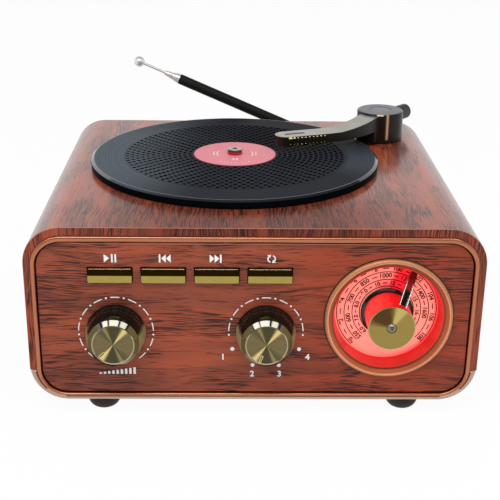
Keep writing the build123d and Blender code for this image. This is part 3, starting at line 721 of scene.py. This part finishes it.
def flatBlock(bm, x, y, height, place=None):
    # a block on Z = 0, from its low and high sides
    made = bmesh.ops.create_cube(bm, size=1.0)["verts"]
    bmesh.ops.scale(bm, vec=(x[1] - x[0], y[1] - y[0], height), verts=made)
    bmesh.ops.translate(bm, vec=((x[0] + x[1]) / 2, (y[0] + y[1]) / 2, height / 2), verts=made)
    if place is not None:
        bmesh.ops.transform(bm, matrix=place, verts=made)


def arcBand(bm, radius, width, start, end, height, step=3.0):
    # part of a flat ring, with angles in degrees clockwise from the top
    pieces = max(1, round(abs(end - start) / step))
    low = bm.verts.new((0, radius - width / 2, 0))
    high = bm.verts.new((0, radius + width / 2, 0))
    edge = bm.edges.new((low, high))
    bmesh.ops.rotate(bm, cent=(0, 0, 0), matrix=turned(start).to_3x3(), verts=[low, high])
    before = set(bm.faces)
    bmesh.ops.spin(
        bm, geom=[low, high, edge], cent=(0, 0, 0), axis=(0, 0, 1), angle=-radians(end - start), steps=pieces,
    )
    thicken(bm, [face for face in bm.faces if face not in before], height)


def dot(bm, radius, angle, size, height, steps=16):
    made = bmesh.ops.create_circle(bm, cap_ends=True, radius=size, segments=steps)["verts"]
    spot = (radius * sin(radians(angle)), radius * cos(radians(angle)), 0)
    bmesh.ops.translate(bm, vec=spot, verts=made)
    thicken(bm, [made[0].link_faces[0]], height)


case = {"lip": 0.35, "tray": 1.4, "trim": 0.85, "back": 0.4, "corner": 16.0}


def inFront(edge, y):
    return all(vert.co.y < y for vert in edge.verts)


def behind(edge, y):
    return all(vert.co.y > y for vert in edge.verts)


def onOutline(vert):
    # true on the case's outer section, and not on the opening inside it
    reach = case["corner"]
    across = abs(vert.co.x) - (caseHigh.x - reach)
    down = trayZ + reach - vert.co.z
    if across > 0 and down > 0:
        return hypot(across, down) > reach - 0.1
    return across > reach - 0.05 or down > reach - 0.05


def coverEdge(edge):
    return inFront(edge, frontY + 0.01) or behind(edge, rearY - 0.01)


def trayEdge(edge):
    first, second = (vert.co for vert in edge.verts)
    if abs(first.x - second.x) + abs(first.z - second.z) < 0.01:
        return False
    return inFront(edge, frontY + 0.01) and all(onOutline(vert) for vert in edge.verts)


def rounded(node, size, segments, sharper, where=None):
    bm = cadCopy(node)
    roundEdges(bm, size, segments, sharper, where)
    return bm


def makeCase():
    for node, name, paint, slot, size, segments, where in (
        ("cabinet_cover", "woodWrap", "rosewoodWrap", "rosewood", "lip", 2, coverEdge),
        ("bottom_tray", "tray", "bronze", "bronze", "tray", 4, trayEdge),
        ("front_frame", "trimRing", "copper", "copper", "trim", 4, lambda edge: inFront(edge, frontY)),
        ("back_panel", "backBoard", "blackPlastic", "black_plastic", "back", 2,
         lambda edge: behind(edge, rearY - 0.01)),
    ):
        settle(rounded(node, case[size], segments, 40, where), name, "cabinet", paint, slot, stands=node)
    print("case made")


foot = {"radius": 7.2, "rest": 3.4, "rim": 4.8, "screwHole": (2.7, 2.6), "bore": 1.25}


def makeFeet():
    low, high = spanOf("feet")
    radius, rest, rim, bore, (wide, deep) = pick(foot, "radius rest rim bore screwHole")
    height = high.z
    profile = [(0, height), (radius, height), (radius, rim)]
    for step in range(1, 9):
        turn = radians(90 * step / 8)
        profile.append((rest + (radius - rest) * cos(turn), rim - rim * sin(turn)))
    profile += [(wide, 0), (wide, deep), (bore, deep), (bore, height - 0.2), (0, height - 0.2)]
    feet = bmesh.new()
    for x in (low.x + radius, high.x - radius):
        for y in (low.y + radius, high.y - radius):
            addTo(feet, lathe(profile, 48), shifted(x, y, 0))
    settle(feet, "feetDomes", "cabinet", "rubber", "rubber", stands="feet")
    print("feet made")


makeCase()
makeFeet()

knob = {
    "base": 12.5, "foot": 1.6, "flare": 2.2, "hollow": (7.0, 3.2), "side": 12.0, "shoulder": 10.6,
    "face": 8.8, "bulge": 0.45, "bevel": 2.0, "soft": 0.12, "markOut": 6.6, "markLength": 2.4,
    "markWidth": 0.26, "markRim": 0.26,
}


def makeKnob(name, node, body, markAngle):
    spot = centreOf(node)
    place = atFront(spot)
    reach = frontY - spanOf(node)[0].y
    base, side, shoulder, face, soft = pick(knob, "base side shoulder face soft")
    wide, deep = knob["hollow"]
    low, high = knob["flare"], reach - knob["bevel"] - 0.1
    profile = [(0, deep), (wide, deep), (wide, 0), (base, 0), (base, knob["foot"]), (side, low)]
    for step in range(1, 9):
        share = step / 8
        radius = side + (shoulder - side) * share + knob["bulge"] * sin(pi * share)
        profile.append((radius, low + (high - low) * share))
    # the bevel is flat, at the angle that shows the lamps from the front
    profile += [
        (shoulder - soft * 0.25, high + soft), (shoulder - soft, high + soft * 1.8),
        (face + soft, reach - soft * 1.8), (face + soft * 0.2, reach - soft * 1.1),
    ]
    profile += moved([(0, -0.1), (-0.25, 0), (-0.5, -0.18), (-0.5, -1.0), (-face, -1.0)], face, reach)
    knobSide(name + "Side", spot)
    settle(lathe(profile, 128), name + "Side", body, name + "Side", "gold", place, node, 50)
    spunGold(name + "Face", spot)
    inner = face - 0.5
    disc = moved([(0, -0.32), (4.0, -0.27), (inner, -0.16), (inner, -1.0), (0, -1.0)], 0, reach)
    settle(lathe(disc, 128), name + "Face", body, name + "Face", "gold", place)
    for width, level, part, paint in (
        (knob["markWidth"] + knob["markRim"], -0.16, "Rim", "beadGold"),
        (knob["markWidth"], -0.12, "Mark", "deepBronze"),
    ):
        mark = capsule(knob["markLength"], width, 24, 0.4)
        at = turned(markAngle - 90) @ shifted(knob["markOut"], 0, reach + level - 0.4)
        settle(mark, name + part, body, paint, "gold", place @ at)


makeKnob("volumeKnob", "volume_knob", "volume", 226)
makeKnob("bandKnob", "band_knob", "band", 200)
print("knobs made")

key = {
    "width": 18.2, "height": 6.3, "corner": 0.7, "edge": 0.18, "front": 1.0, "back": -3.9, "ridge": 0.22,
    "ridgeAt": 0.15,
}


def isUpright(edge):
    first, second = (vert.co for vert in edge.verts)
    return abs(first.z - second.z) > 2 and abs(first.y) > 1


def makeKey(name, node, body):
    bm = bmesh.new()
    wide, tall, at = key["width"] / 2, key["height"] / 2, key["ridgeAt"]
    flatBlock(bm, (-wide, wide), (-tall, tall), key["front"] - key["back"], shifted(0, 0, key["back"]))
    bmesh.ops.bisect_plane(
        bm, geom=bm.verts[:] + bm.edges[:] + bm.faces[:], plane_co=(0, at, 0), plane_no=(0, 1, 0),
    )
    ridge = [vert for vert in bm.verts if abs(vert.co.y - at) < 0.01 and vert.co.z > 0]
    bmesh.ops.translate(bm, vec=(0, 0, key["ridge"]), verts=ridge)
    roundEdges(bm, key["corner"], 4, 30, isUpright)
    roundEdges(bm, key["edge"], 3, 40, lambda edge: all(vert.co.z > 0 for vert in edge.verts))
    spot = centreOf(node)
    keyGold(name, spot)
    settle(bm, name, body, name, "gold", atFront(spot), node)


for keyName in ("play", "back", "next", "source"):
    makeKey(keyName + "Key", keyName + "_button", keyName)
print("keys made")

dial = {
    "bezelOut": 26.9, "bezelTop": 25.5, "bezelIn": 23.5, "proud": 1.3, "sink": -0.9, "hollow": 0.5,
    "wellTop": 23.0, "plate": 22.0, "plateDepth": 8.2, "gasket": 27.35, "print": 0.05, "bold": 0.075,
    "ringRadii": (21.2, 18.0, 14.6, 11.5), "ringEnds": (-138, 134), "ringWidth": 0.36,
    "dashWidth": 0.20, "dashShare": 0.13,
}
# each row's radius, size of numeral, first angle, step and numerals
scales = (
    (19.6, 2.75, -134, 29.0, "90 92 94 96 98 100 102 104 106 108"),
    (16.3, 2.75, -133.6, 32.3, "550 600 700 850 1000 1200 1400 1600"),
    (13.0, 2.5, -133, 28.2, "6.0 7.0 8.0 9.0 10 12 13 15 16 18"),
)


def makeScale(place):
    bm = bmesh.new()
    height = dial["print"]
    for radius in dial["ringRadii"]:
        arcBand(bm, radius, dial["ringWidth"], *dial["ringEnds"], height, 4.0)
    for radius, size, first, step, numbers in scales:
        numbers = numbers.split()
        reach, wide = step * dial["dashShare"] * radius * pi / 180, dial["dashWidth"]
        for index, number in enumerate(numbers):
            turn = turned(first + index * step)
            lettering(bm, number, size, turn @ shifted(0, radius, height / 2), height, dial["bold"])
            if index < len(numbers) - 1:
                half = turn @ turned(step / 2)
                flatBlock(bm, (-reach, reach), (radius - wide, radius + wide), height, half)
    settle(bm, "dialScale", "cabinet", "darkPrint", "dial_print", place)


def makeDial():
    place = atFront(dialSpot)
    out, top, inside, gap, depth = pick(dial, "bezelOut bezelTop bezelIn gasket plateDepth")
    slope = []
    for step in range(0, 13):
        share = step / 12
        height = dial["proud"] + (dial["sink"] - dial["proud"]) * share - dial["hollow"] * sin(pi * share)
        slope.append((top + (inside - top) * share, height))
    board = frontY - boardLow.y
    outside = [(out, board), (out, 0.3), (out - 0.2, 0.7), (out - 0.6, 1.05), (out - 1.05, 1.25)]
    bezel = lathe([(inside, -3.4), (24.1, -3.4), (24.1, board)] + outside + slope, 160, True)
    settle(bezel, "bezelRing", "cabinet", "bezelCopper", "copper", place, "dial_bezel", 50)
    # a dark ring round the bezel stands for the shadow in the gap to the board
    strip = moved([(out - 0.1, 0), (gap, 0), (gap, 0.12), (gap - 0.12, 0.2), (out - 0.1, 0.2)], 0, board)
    settle(lathe(strip, 160, True), "bezelShadowRing", "cabinet", "rubber", "rubber", place)
    well = lathe([
        (3.2, -10.2), (23.4, -10.2), (23.4, -4.9), (26.0, -4.9), (26.0, -3.9), (23.4, -3.9), (23.4, -1.0),
        (dial["wellTop"], -1.0), (dial["plate"] + 0.1, -depth - 0.8), (3.2, -depth - 0.8),
    ], 128, True)
    settle(well, "dialWell", "cabinet", "wellRed", "red_plastic", place, "dial_well")
    plate = moved([(3.4, 0), (dial["plate"], 0), (dial["plate"], -0.8), (3.4, -0.8)], 0, -depth)
    settle(lathe(plate, 128, True), "dialPlate", "cabinet", "dialFace", "dial_print", place, "dial_plate")
    makeScale(place @ shifted(0, 0, -depth))
    print("dial made")


tuner = {
    "ring": 11.1, "side": 9.6, "bottom": -5.6, "reach": 9.0, "screw": 1.9, "screwTurn": 35, "pointer": 29.5,
}


def makeTuner():
    place = atFront(dialSpot)
    ring, side, bottom, reach, screw = pick(tuner, "ring side bottom reach screw")
    for name, profile, steps, loop, paint, slot, *more in (
        ("tunerRing", [
            (2.0, -7.4), (ring - 0.3, -7.4), (ring, -7.1), (ring + 0.05, -6.7), (ring - 0.25, -6.3),
            (side + 0.55, -6.1), (side + 0.05, bottom), (2.0, bottom),
        ], 96, True, "blackGloss", "black_gloss", None, 60),
        ("tunerBody", [
            (0, bottom), (side, bottom), (side, 7.5), (side + 0.15, 7.8), (side + 0.2, reach - 0.35),
            (side + 0.1, reach - 0.08), (side - 0.12, reach), (side - 0.3, reach - 0.06), (0, reach - 0.1),
        ], 128, False, "tunerRed", "red_plastic", "tuning_knob"),
        ("tunerFace", [
            (0, reach - 0.04), (side - 0.20, reach - 0.02), (side - 0.20, reach - 0.3), (0, reach - 0.3),
        ], 128, False, "tunerGold", "gold"),
        ("tunerRim", moved([
            (-0.20, -0.1), (-0.20, -0.01), (-0.08, 0), (0.12, -0.08), (0.21, -0.30), (0.21, -0.40),
        ], side, reach), 128, True, "rimGold", "gold"),
        # a dark ring under the screw's edge stands for the shadow round its head
        ("screwOutline", moved([
            (-0.2, -0.1), (0.3, -0.1), (0.3, 0.03), (-0.2, 0.03),
        ], screw, reach), 48, True, "deepBronze", "gold"),
        ("tunerScrew", moved([
            (0, 0.9), (0.7, 0.84), (1.3, 0.62), (1.75, 0.2), (screw, 0), (screw, -0.1), (0, -0.1),
        ], 0, reach), 48, False, "screwMetal", "chrome", "tuning_screw"),
    ):
        settle(lathe(profile, steps, loop), name, "tuning", paint, slot, place, *more)
    slots = bmesh.new()
    flatBlock(slots, (-1.05, 1.05), (-0.17, 0.17), 0.25)
    flatBlock(slots, (-0.17, 0.17), (-0.8, 0.8), 0.25)
    at = place @ shifted(0, 0, reach + 0.68) @ turned(-tuner["screwTurn"])
    settle(slots, "screwSlots", "tuning", "deepBronze", "chrome", at)
    print("tuning knob made")


# its ends are measured out from the dial's centre and forward from the case
pointer = {"near": (9.2, 4.6), "far": (20.0, -5.9), "width": 3.6, "thick": 1.2, "rim": 0.42, "channel": 0.45}


def makePointer():
    (nearOut, nearUp), (farOut, farUp) = pointer["near"], pointer["far"]
    run, drop = farOut - nearOut, nearUp - farUp
    length, thick = hypot(run, drop), pointer["thick"]
    lean = shifted(nearOut + run / 2, 0, nearUp - drop / 2) @ Matrix.Rotation(atan2(drop, run), 4, "Y")
    place = atFront(dialSpot) @ turned(tuner["pointer"] - 90) @ lean
    bm = capsule(length, pointer["width"] / 2, 48, thick)
    top = [face for face in bm.faces if face.normal.z > 0.9]
    bmesh.ops.inset_region(bm, faces=top, thickness=pointer["rim"], depth=0)
    inner = [face for face in bm.faces if face.normal.z > 0.9 and len(face.verts) > 8]
    thicken(bm, inner, -pointer["channel"])
    bmesh.ops.delete(bm, geom=[face for face in inner if face.is_valid], context="FACES")
    bmesh.ops.recalc_face_normals(bm, faces=bm.faces)
    roundEdges(bm, 0.14, 2, 50)
    lower, upper = shifted(0, 0, -thick / 2), shifted(0, 0, thick / 2 - pointer["channel"] - 0.06)
    settle(bm, "pointerLoop", "tuning", "pointerMetal", "chrome", place @ lower, "tuning_pointer")
    insert = capsule(length, pointer["width"] / 2 - pointer["rim"] - 0.1, 40, 0.12)
    settle(insert, "pointerInsert", "tuning", "pointerInlay", "red_plastic", place @ upper)
    print("pointer made")


makeDial()
makeTuner()
makePointer()

printed = {
    "height": 0.06, "iconZ": 72.0, "iconHigh": 3.6, "icons": (-59.0, -37.2, -16.2, 6.5), "ring": 15.6,
    "line": 0.42, "gap": 27.27, "dash": 6.9, "bars": 9, "barsZ": 18.9, "stepDot": 0.85, "numeral": 3.8,
    "bold": 0.09,
    # each step's dot, as an angle and a radius, and its numeral's place
    "steps": (
        (240, 16.2, -18.0, -12.0), (199, 16.6, -5.6, -20.0),
        (160, 16.8, 6.0, -20.0), (120, 16.3, 17.8, -12.0),
    ),
}


def triangle(bm, x, width, high, sign=1):
    made = bmesh.ops.create_circle(bm, cap_ends=True, radius=1.0, segments=3)["verts"]
    top = max(made, key=lambda vert: vert.co.y)
    lefts = sorted((v for v in made if v is not top), key=lambda vert: vert.co.x)
    top.co = (x + sign * width / 2, 0, 0)
    lefts[0].co = (x - sign * width / 2, -high / 2, 0)
    lefts[1].co = (x - sign * width / 2, high / 2, 0)
    thicken(bm, [made[0].link_faces[0]], printed["height"])


def upright(bm, left, right):
    half = printed["iconHigh"] / 2
    flatBlock(bm, (left, right), (-half, half), printed["height"])


def playIcon():
    bm = bmesh.new()
    triangle(bm, -1.75, 2.2, printed["iconHigh"])
    upright(bm, 0.1, 0.8)
    upright(bm, 1.5, 2.2)
    return bm


def skipIcon(sign):
    bm = bmesh.new()
    for x in (-1.6, 0.4):
        triangle(bm, sign * x, 1.9, printed["iconHigh"], sign)
    upright(bm, *sorted((sign * 1.6, sign * 2.3)))
    return bm


def turnIcon():
    # two arrows that chase each other round a circle
    bm = bmesh.new()
    for half in (0, 180):
        arcBand(bm, 1.5, 0.5, half + 20, half + 135, printed["height"], 12.0)
        tip = bmesh.new()
        triangle(tip, 0, 1.3, 1.7)
        addTo(bm, tip, turned(half + 140) @ shifted(0.35, 1.5, 0))
    return bm


def dashRing(dashes, dots):
    # dashes and dots in turn, as many on each side of the top
    ring = bmesh.new()
    radius, gap, dash, line, height = pick(printed, "ring gap dash line height")
    for step in range(-dashes, dashes + 1):
        arcBand(ring, radius, line, step * gap - dash, step * gap + dash, height, 2.5)
    for step in range(-dots, dots):
        dot(ring, radius, (step + 0.5) * gap, line, height)
    return ring


def makePrint():
    bm = bmesh.new()
    height = printed["height"]
    for x, shape in zip(printed["icons"], (playIcon(), skipIcon(-1), skipIcon(1), turnIcon())):
        addTo(bm, shape, shifted(x, printed["iconZ"], 0))
    volumeSpot, bandSpot = centreOf("volume_knob"), centreOf("band_knob")
    addTo(bm, dashRing(5, 5), shifted(volumeSpot.x, volumeSpot.z, 0))
    wedge = bmesh.new()
    for step in range(printed["bars"]):
        flatBlock(wedge, (step * 1.8 - 7.7, step * 1.8 - 6.7), (0, 0.7 + step * 0.30), height)
    addTo(bm, wedge, shifted(volumeSpot.x, printed["barsZ"], 0))
    ring = dashRing(3, 4)
    for index, (angle, reach, across, down) in enumerate(printed["steps"]):
        dot(ring, reach, angle, printed["stepDot"], height, 24)
        spot = shifted(across, down, height / 2)
        lettering(ring, str(index + 1), printed["numeral"], spot, height, printed["bold"])
    addTo(bm, ring, shifted(bandSpot.x, bandSpot.z, 0))
    place = shifted(0, boardLow.y, 0) @ Matrix.Rotation(pi / 2, 4, "X")
    settle(bm, "frontPrint", "cabinet", "whitePrint", "rosewood", place)
    print("front print made")


makePrint()

record = {
    "ridgeFirst": 20.36, "pitch": 2.48, "ridges": 14, "ridgeWidth": 0.56, "ridgeHigh": 0.16,
    "label": 19.8, "labelEdge": 0.35, "labelHole": 1.5, "print": 0.04,
}


def makeRecord():
    place = shifted(discSpot.x, discSpot.y, 0)
    ridges = bmesh.new()
    half, high = record["ridgeWidth"] / 2, record["ridgeHigh"]
    for index in range(record["ridges"]):
        one = lathe(moved([
            (-half, -0.02), (-half, 0), (-half * 0.6, high * 0.8), (0, high), (half * 0.6, high * 0.8),
            (half, 0), (half, -0.02),
        ], record["ridgeFirst"] + index * record["pitch"], 0), 128, True)
        addTo(ridges, one, shifted(0, 0, discTop))
    settle(ridges, "recordRidges", "record", "vinylRidge", "black_gloss", place, None, 70)
    top, out, hole = spanOf("record_label")[1].z, record["label"], record["labelHole"]
    inner = out - record["labelEdge"]
    disc = [(hole, discTop), (inner, discTop), (inner, top - 0.06), (inner - 0.1, top), (hole, top)]
    settle(lathe(disc, 128, True), "labelDisc", "record", "label", "label", place, "record_label")
    edge = lathe([
        (inner, discTop), (out, discTop), (out, top - 0.1), (out - 0.1, top - 0.02), (inner, top - 0.02),
    ], 128, True)
    settle(edge, "labelEdge", "record", "labelEdge", "label", place)
    marks = bmesh.new()
    height = record["print"]
    lettering(marks, "33", 3.4, shifted(0, -9.6, height / 2), height, 0.05)
    for side in (-1, 1):
        for radius, half in ((8.6, 26), (10.2, 16)):
            arcBand(marks, radius, 0.34, side * 90 - half, side * 90 + half, height, 6.0)
    for step in range(-4, 5):
        dot(marks, 14.8, 180 + step * 6.5, 0.28, height, 12)
    settle(marks, "labelMarks", "record", "whitePrint", "label", place @ shifted(0, 0, top))
    print("record made")


makeRecord()

# start and end are an angle and a length: from the pivot to the bend, and from the bend to the tip
arm = {
    "start": (234.0, 17.0), "bend": 44.9, "end": (199.0, 19.9), "top": 11.7, "bottom": 7.2, "ribs": 10,
    "firstGlintBeads": (1.05, 0.78), "upperGlintBead": 0.50, "lowerGlintBead": 0.28, "beadOut": 5.5,
    "slotAt": 0.76, "slotLength": 8.2, "slotHalf": 1.1, "inlay": 5.55,
}


def headLine():
    # where the arm's straight head starts, and its direction
    first, last = (Vector((cos(radians(a)), sin(radians(a)), 0)) for a in (arm["start"][0], arm["end"][0]))
    inward = [Vector((way.y, -way.x, 0)) for way in (first, last)]
    centre = pivotSpot + first * arm["start"][1] + inward[0] * arm["bend"]
    return centre - inward[1] * arm["bend"], last


def makeTonearm():
    bar = rounded("tonearm", 0.14, 2, 25)
    settle(bar, "armBar", "tonearm", "armMetal", "dark_chrome", stands="tonearm")
    # small bright gold beads at the ribs' ends are painted highlights, standing for the glints there
    glintBeads = bmesh.new()
    start, along = headLine()
    outward = Vector((-along.y, along.x, 0)) * arm["beadOut"]
    headAngle, headLength = arm["end"]
    for rib in range(arm["ribs"]):
        spot = start + along * headLength * (0.98 - rib / arm["ribs"]) + outward
        upper = arm["firstGlintBeads"][rib] if rib < 2 else arm["upperGlintBead"]
        for size, level in ((upper, arm["top"] - 0.75), (arm["lowerGlintBead"], arm["bottom"] + 0.75)):
            at = shifted(spot.x, spot.y, topZ + level)
            bmesh.ops.create_icosphere(glintBeads, subdivisions=2, radius=size, matrix=at)
    settle(glintBeads, "armBeads", "tonearm", "beadGold", "gold")
    recess = capsule(arm["slotLength"], arm["slotHalf"], 24, 0.5)
    spot = start + along * headLength * arm["slotAt"]
    at = shifted(spot.x, spot.y, topZ + arm["top"] - 0.47) @ turned(-headAngle)
    settle(recess, "fingerSlot", "tonearm", "slotGrey", "dark_chrome", at)
    weight = rounded("counterweight", 0.15, 2, 30)
    settle(weight, "armWeight", "tonearm", "blackPlastic", "dark_chrome", stands="counterweight")
    low, high = (corner.z for corner in spanOf("tonearm_inlay"))
    out, soft = arm["inlay"], arm["inlay"] - 0.15
    inlay = [(0, low), (soft, low), (out, low + 0.1), (out, high - 0.12), (soft, high), (0, high + 0.1)]
    at = shifted(pivotSpot.x, pivotSpot.y, 0)
    settle(lathe(inlay, 64), "armInlay", "tonearm", "violet", "violet", at, "tonearm_inlay")
    print("tonearm made")


makeTonearm()

antenna = {
    "lean": 23.4, "mast": 124.0, "mastRadius": 2.75, "mastBore": 2.25, "cut": 6.2, "nose": 4.4,
    # each section's start, end and radius, and its nose's two radii
    "first": (15.0, 128.45, 2.15, 2.7, 1.85), "second": (22.0, 132.9, 1.45, 1.75, 1.15),
    "third": (36.0, 147.6, 0.75), "ball": 2.895,
}


def makeAntenna():
    lean = Matrix.Rotation(radians(180 + antenna["lean"]), 4, "Y")
    place = Matrix.Translation(centreOf("antenna_pin")) @ lean
    along = place @ Matrix.Rotation(pi / 2, 4, "Y")
    end, radius, bore = pick(antenna, "mast mastRadius mastBore")
    mast = lathe([
        (bore, 10), (bore, 7), (0, 7), (0, 6), (radius - 0.4, 6), (radius, 6.4), (radius, end - 0.5),
        (radius - 0.25, end - 0.1), (bore + 0.05, end), (bore, end - 0.2),
    ], 64, True)
    settle(mast, "mastTube", "mast", "blackLacquer", "black_lacquer", along)
    tongue = cadCopy("antenna_mast")
    bmesh.ops.bisect_plane(
        tongue, geom=tongue.verts[:] + tongue.edges[:] + tongue.faces[:], dist=0.001, clear_outer=True,
        plane_co=place @ Vector((antenna["cut"], 0, 0)), plane_no=place.to_3x3() @ Vector((1, 0, 0)),
    )
    bmesh.ops.holes_fill(tongue, edges=tongue.edges, sides=0)
    settle(tongue, "mastTongue", "mast", "chrome", "chrome", stands="antenna_mast")
    nose = antenna["nose"]
    for name, body in (("first", "section_1"), ("second", "section_2")):
        start, stop, wide, high, low = antenna[name]
        crimp, bore = stop - nose, wide - 0.65
        tube = lathe([
            (bore, start), (wide, start), (wide, crimp), (high, crimp + 0.05), (high, crimp + 0.5),
            ((high + low) / 2, stop - nose * 0.42), (low + 0.05, stop - 0.5), (low, stop - 0.05),
            (low - 0.1, stop), (bore, stop),
        ], 48, True)
        settle(tube, name + "Section", body, "satin", "chrome", along, "antenna_" + body)
    start, stop, wide = antenna["third"]
    rod = [(0, start), (wide, start), (wide, stop - 3.1), (wide + 0.25, stop - 2.85)]
    for step in range(2, 17):
        turn = radians(180 * step / 16)
        rod.append((max(0.0, antenna["ball"] * sin(turn)), stop - antenna["ball"] * cos(turn)))
    settle(lathe(rod, 48), "thirdSection", "section_3", "satin", "chrome", along, "antenna_section_3")
    print("antenna made")


makeAntenna()

# the frame's own pieces, by their finish
nodePaint = {
    "rosewoodFront": "front_panel", "vinyl": "record_disc", "spindleFinish": "spindle", "softwood": "cleats",
    "steel": "back_screws foot_screws tuning_shaft volume_pot volume_shaft band_switch band_shaft shaft_nuts "
             "disc_motor speaker_screws stylus tonearm_shaft antenna_pin usb_socket charge_socket",
    "brass": "spindle_bush tonearm_bush", "chrome": "antenna_hub", "board": "button_board main_board",
    "blackPlastic": "tuning_control tact_switches spindle_bridge antenna_bracket", "wellRed": "dial_lamps",
    "blackLacquer": "speaker_frame", "magnet": "speaker_magnet ferrite_rod", "conePaper": "speaker_cone",
    "rubber": "speaker_surround", "foil": "battery",
}
for paint, nodes in nodePaint.items():
    for node in nodes.split():
        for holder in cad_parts[node].material_slots:
            holder.material = finish[paint]
print("frame pieces dressed:", sum(len(nodes.split()) for nodes in nodePaint.values()))

# in metres, and the camera's place is measured from the case's lower front edge
studio = {
    "cameraSpot": (-0.01024, -0.39976, 0.22945), "pitch": 21.7886, "yaw": 1.1266, "roll": -0.6765,
    "lens": 76.38, "sensor": 36.0, "daylight": 0.52, "floor": (0.93, 0.93, 0.92), "floorGlow": 0.95,
    "lampAim": (0, 0, 0.05), "lampHeight": 0.30, "card": (0.02, 0.02, 0.02),
    # name, place, width, power
    "lamps": (
        ("keyBox", (-0.08, -0.47, 0.80), 0.46, 2.6), ("leftBox", (-0.56, -0.44, 0.78), 0.24, 1.4),
        ("rightBox", (0.45, -0.44, 0.78), 0.28, 1.4),
    ),
    # name, place, tilt, width, height
    "cards": (("ceilingCard", (0, 0.1, 0.95), 0, 2.4, 1.7), ("frontCard", (0, -1.0, 0.35), 90, 2.4, 0.62)),
}


def makeCamera():
    pitch, yaw, roll = (radians(angle) for angle in pick(studio, "pitch yaw roll"))
    ahead = Vector((sin(yaw) * cos(pitch), cos(yaw) * cos(pitch), -sin(pitch)))
    right = Vector((cos(yaw), -sin(yaw), 0))
    up = right.cross(ahead)
    rolledRight = right * cos(roll) - up * sin(roll)
    rolledUp = right * sin(roll) + up * cos(roll)
    lens = bpy.data.cameras.new("camera")
    lens.sensor_width, lens.lens = studio["sensor"], studio["lens"]
    lens.clip_start, lens.clip_end = 0.01, 20.0
    camera = inScene("camera", lens)
    corner = Vector((0, frontY, trayZ)) * mm
    turn = Matrix((rolledRight, rolledUp, -ahead)).transposed().to_4x4()
    camera.matrix_world = Matrix.Translation(corner + Vector(studio["cameraSpot"])) @ turn
    bpy.context.scene.camera = camera


def seenDirectly(graph):
    # 1 for rays that show the background itself, in the camera, a mirror or glass
    kinds = "Is Camera Ray", "Is Glossy Ray", "Is Transmission Ray"
    camera, mirror, glass = (graph.node("ShaderNodeLightPath", output=kind) for kind in kinds)
    return camera.maths("MAXIMUM", camera.maths("MAXIMUM", camera, mirror), glass)


def makeWorld():
    world = bpy.data.worlds.new("studio")
    bpy.context.scene.world = world
    sky = Graph(world)
    back = sky.tree.nodes["Background"].inputs
    sky.feed(back["Color"], (1.0, 1.0, 1.0))
    sky.feed(back["Strength"], seenDirectly(sky).spread(studio["daylight"], 1.0))


def sheet(name, width, height):
    # a flat part of the studio
    bm = bmesh.new()
    bmesh.ops.create_grid(bm, x_segments=1, y_segments=1, size=0.5)
    bmesh.ops.scale(bm, vec=(width, height, 1), verts=bm.verts)
    made = inScene(name, meshOf(bm, name))
    made.data.materials.append(finish[name])
    return made


def makeFloor():
    paint = Paint("floor", baseColor=studio["floor"], roughness=0.9)
    lit, glow = Link(paint, paint.shader.outputs[0]), paint.node("ShaderNodeEmission")
    amount = seenDirectly(paint) * studio["floorGlow"]
    mix = paint.node("ShaderNodeMixShader", values={0: amount, 1: lit, 2: glow})
    paint.feed(paint.tree.nodes["Material Output"].inputs["Surface"], mix)
    sheet("floor", 12.0, 12.0)


def softbox(name, spot, width, power):
    light = bpy.data.lights.new(name, "AREA")
    light.shape, light.size, light.size_y, light.energy = "RECTANGLE", width, studio["lampHeight"], power
    holder = inScene(name, light)
    holder.location = spot
    holder.rotation_mode = "QUATERNION"
    holder.rotation_quaternion = (Vector(spot) - Vector(studio["lampAim"])).to_track_quat("Z", "Y")
    holder.visible_camera = False


def card(name, spot, tilt, width, height):
    # a black flag that only reflections show
    Paint(name, baseColor=studio["card"])
    made = sheet(name, width, height)
    made.location, made.rotation_euler = spot, (radians(tilt), 0, 0)
    made.visible_camera = made.visible_diffuse = made.visible_transmission = made.visible_shadow = False


makeCamera()
makeWorld()
makeFloor()
for row in studio["lamps"]:
    softbox(*row)
for row in studio["cards"]:
    card(*row)
bpy.context.scene.view_settings.view_transform = "Standard"
print("studio made")
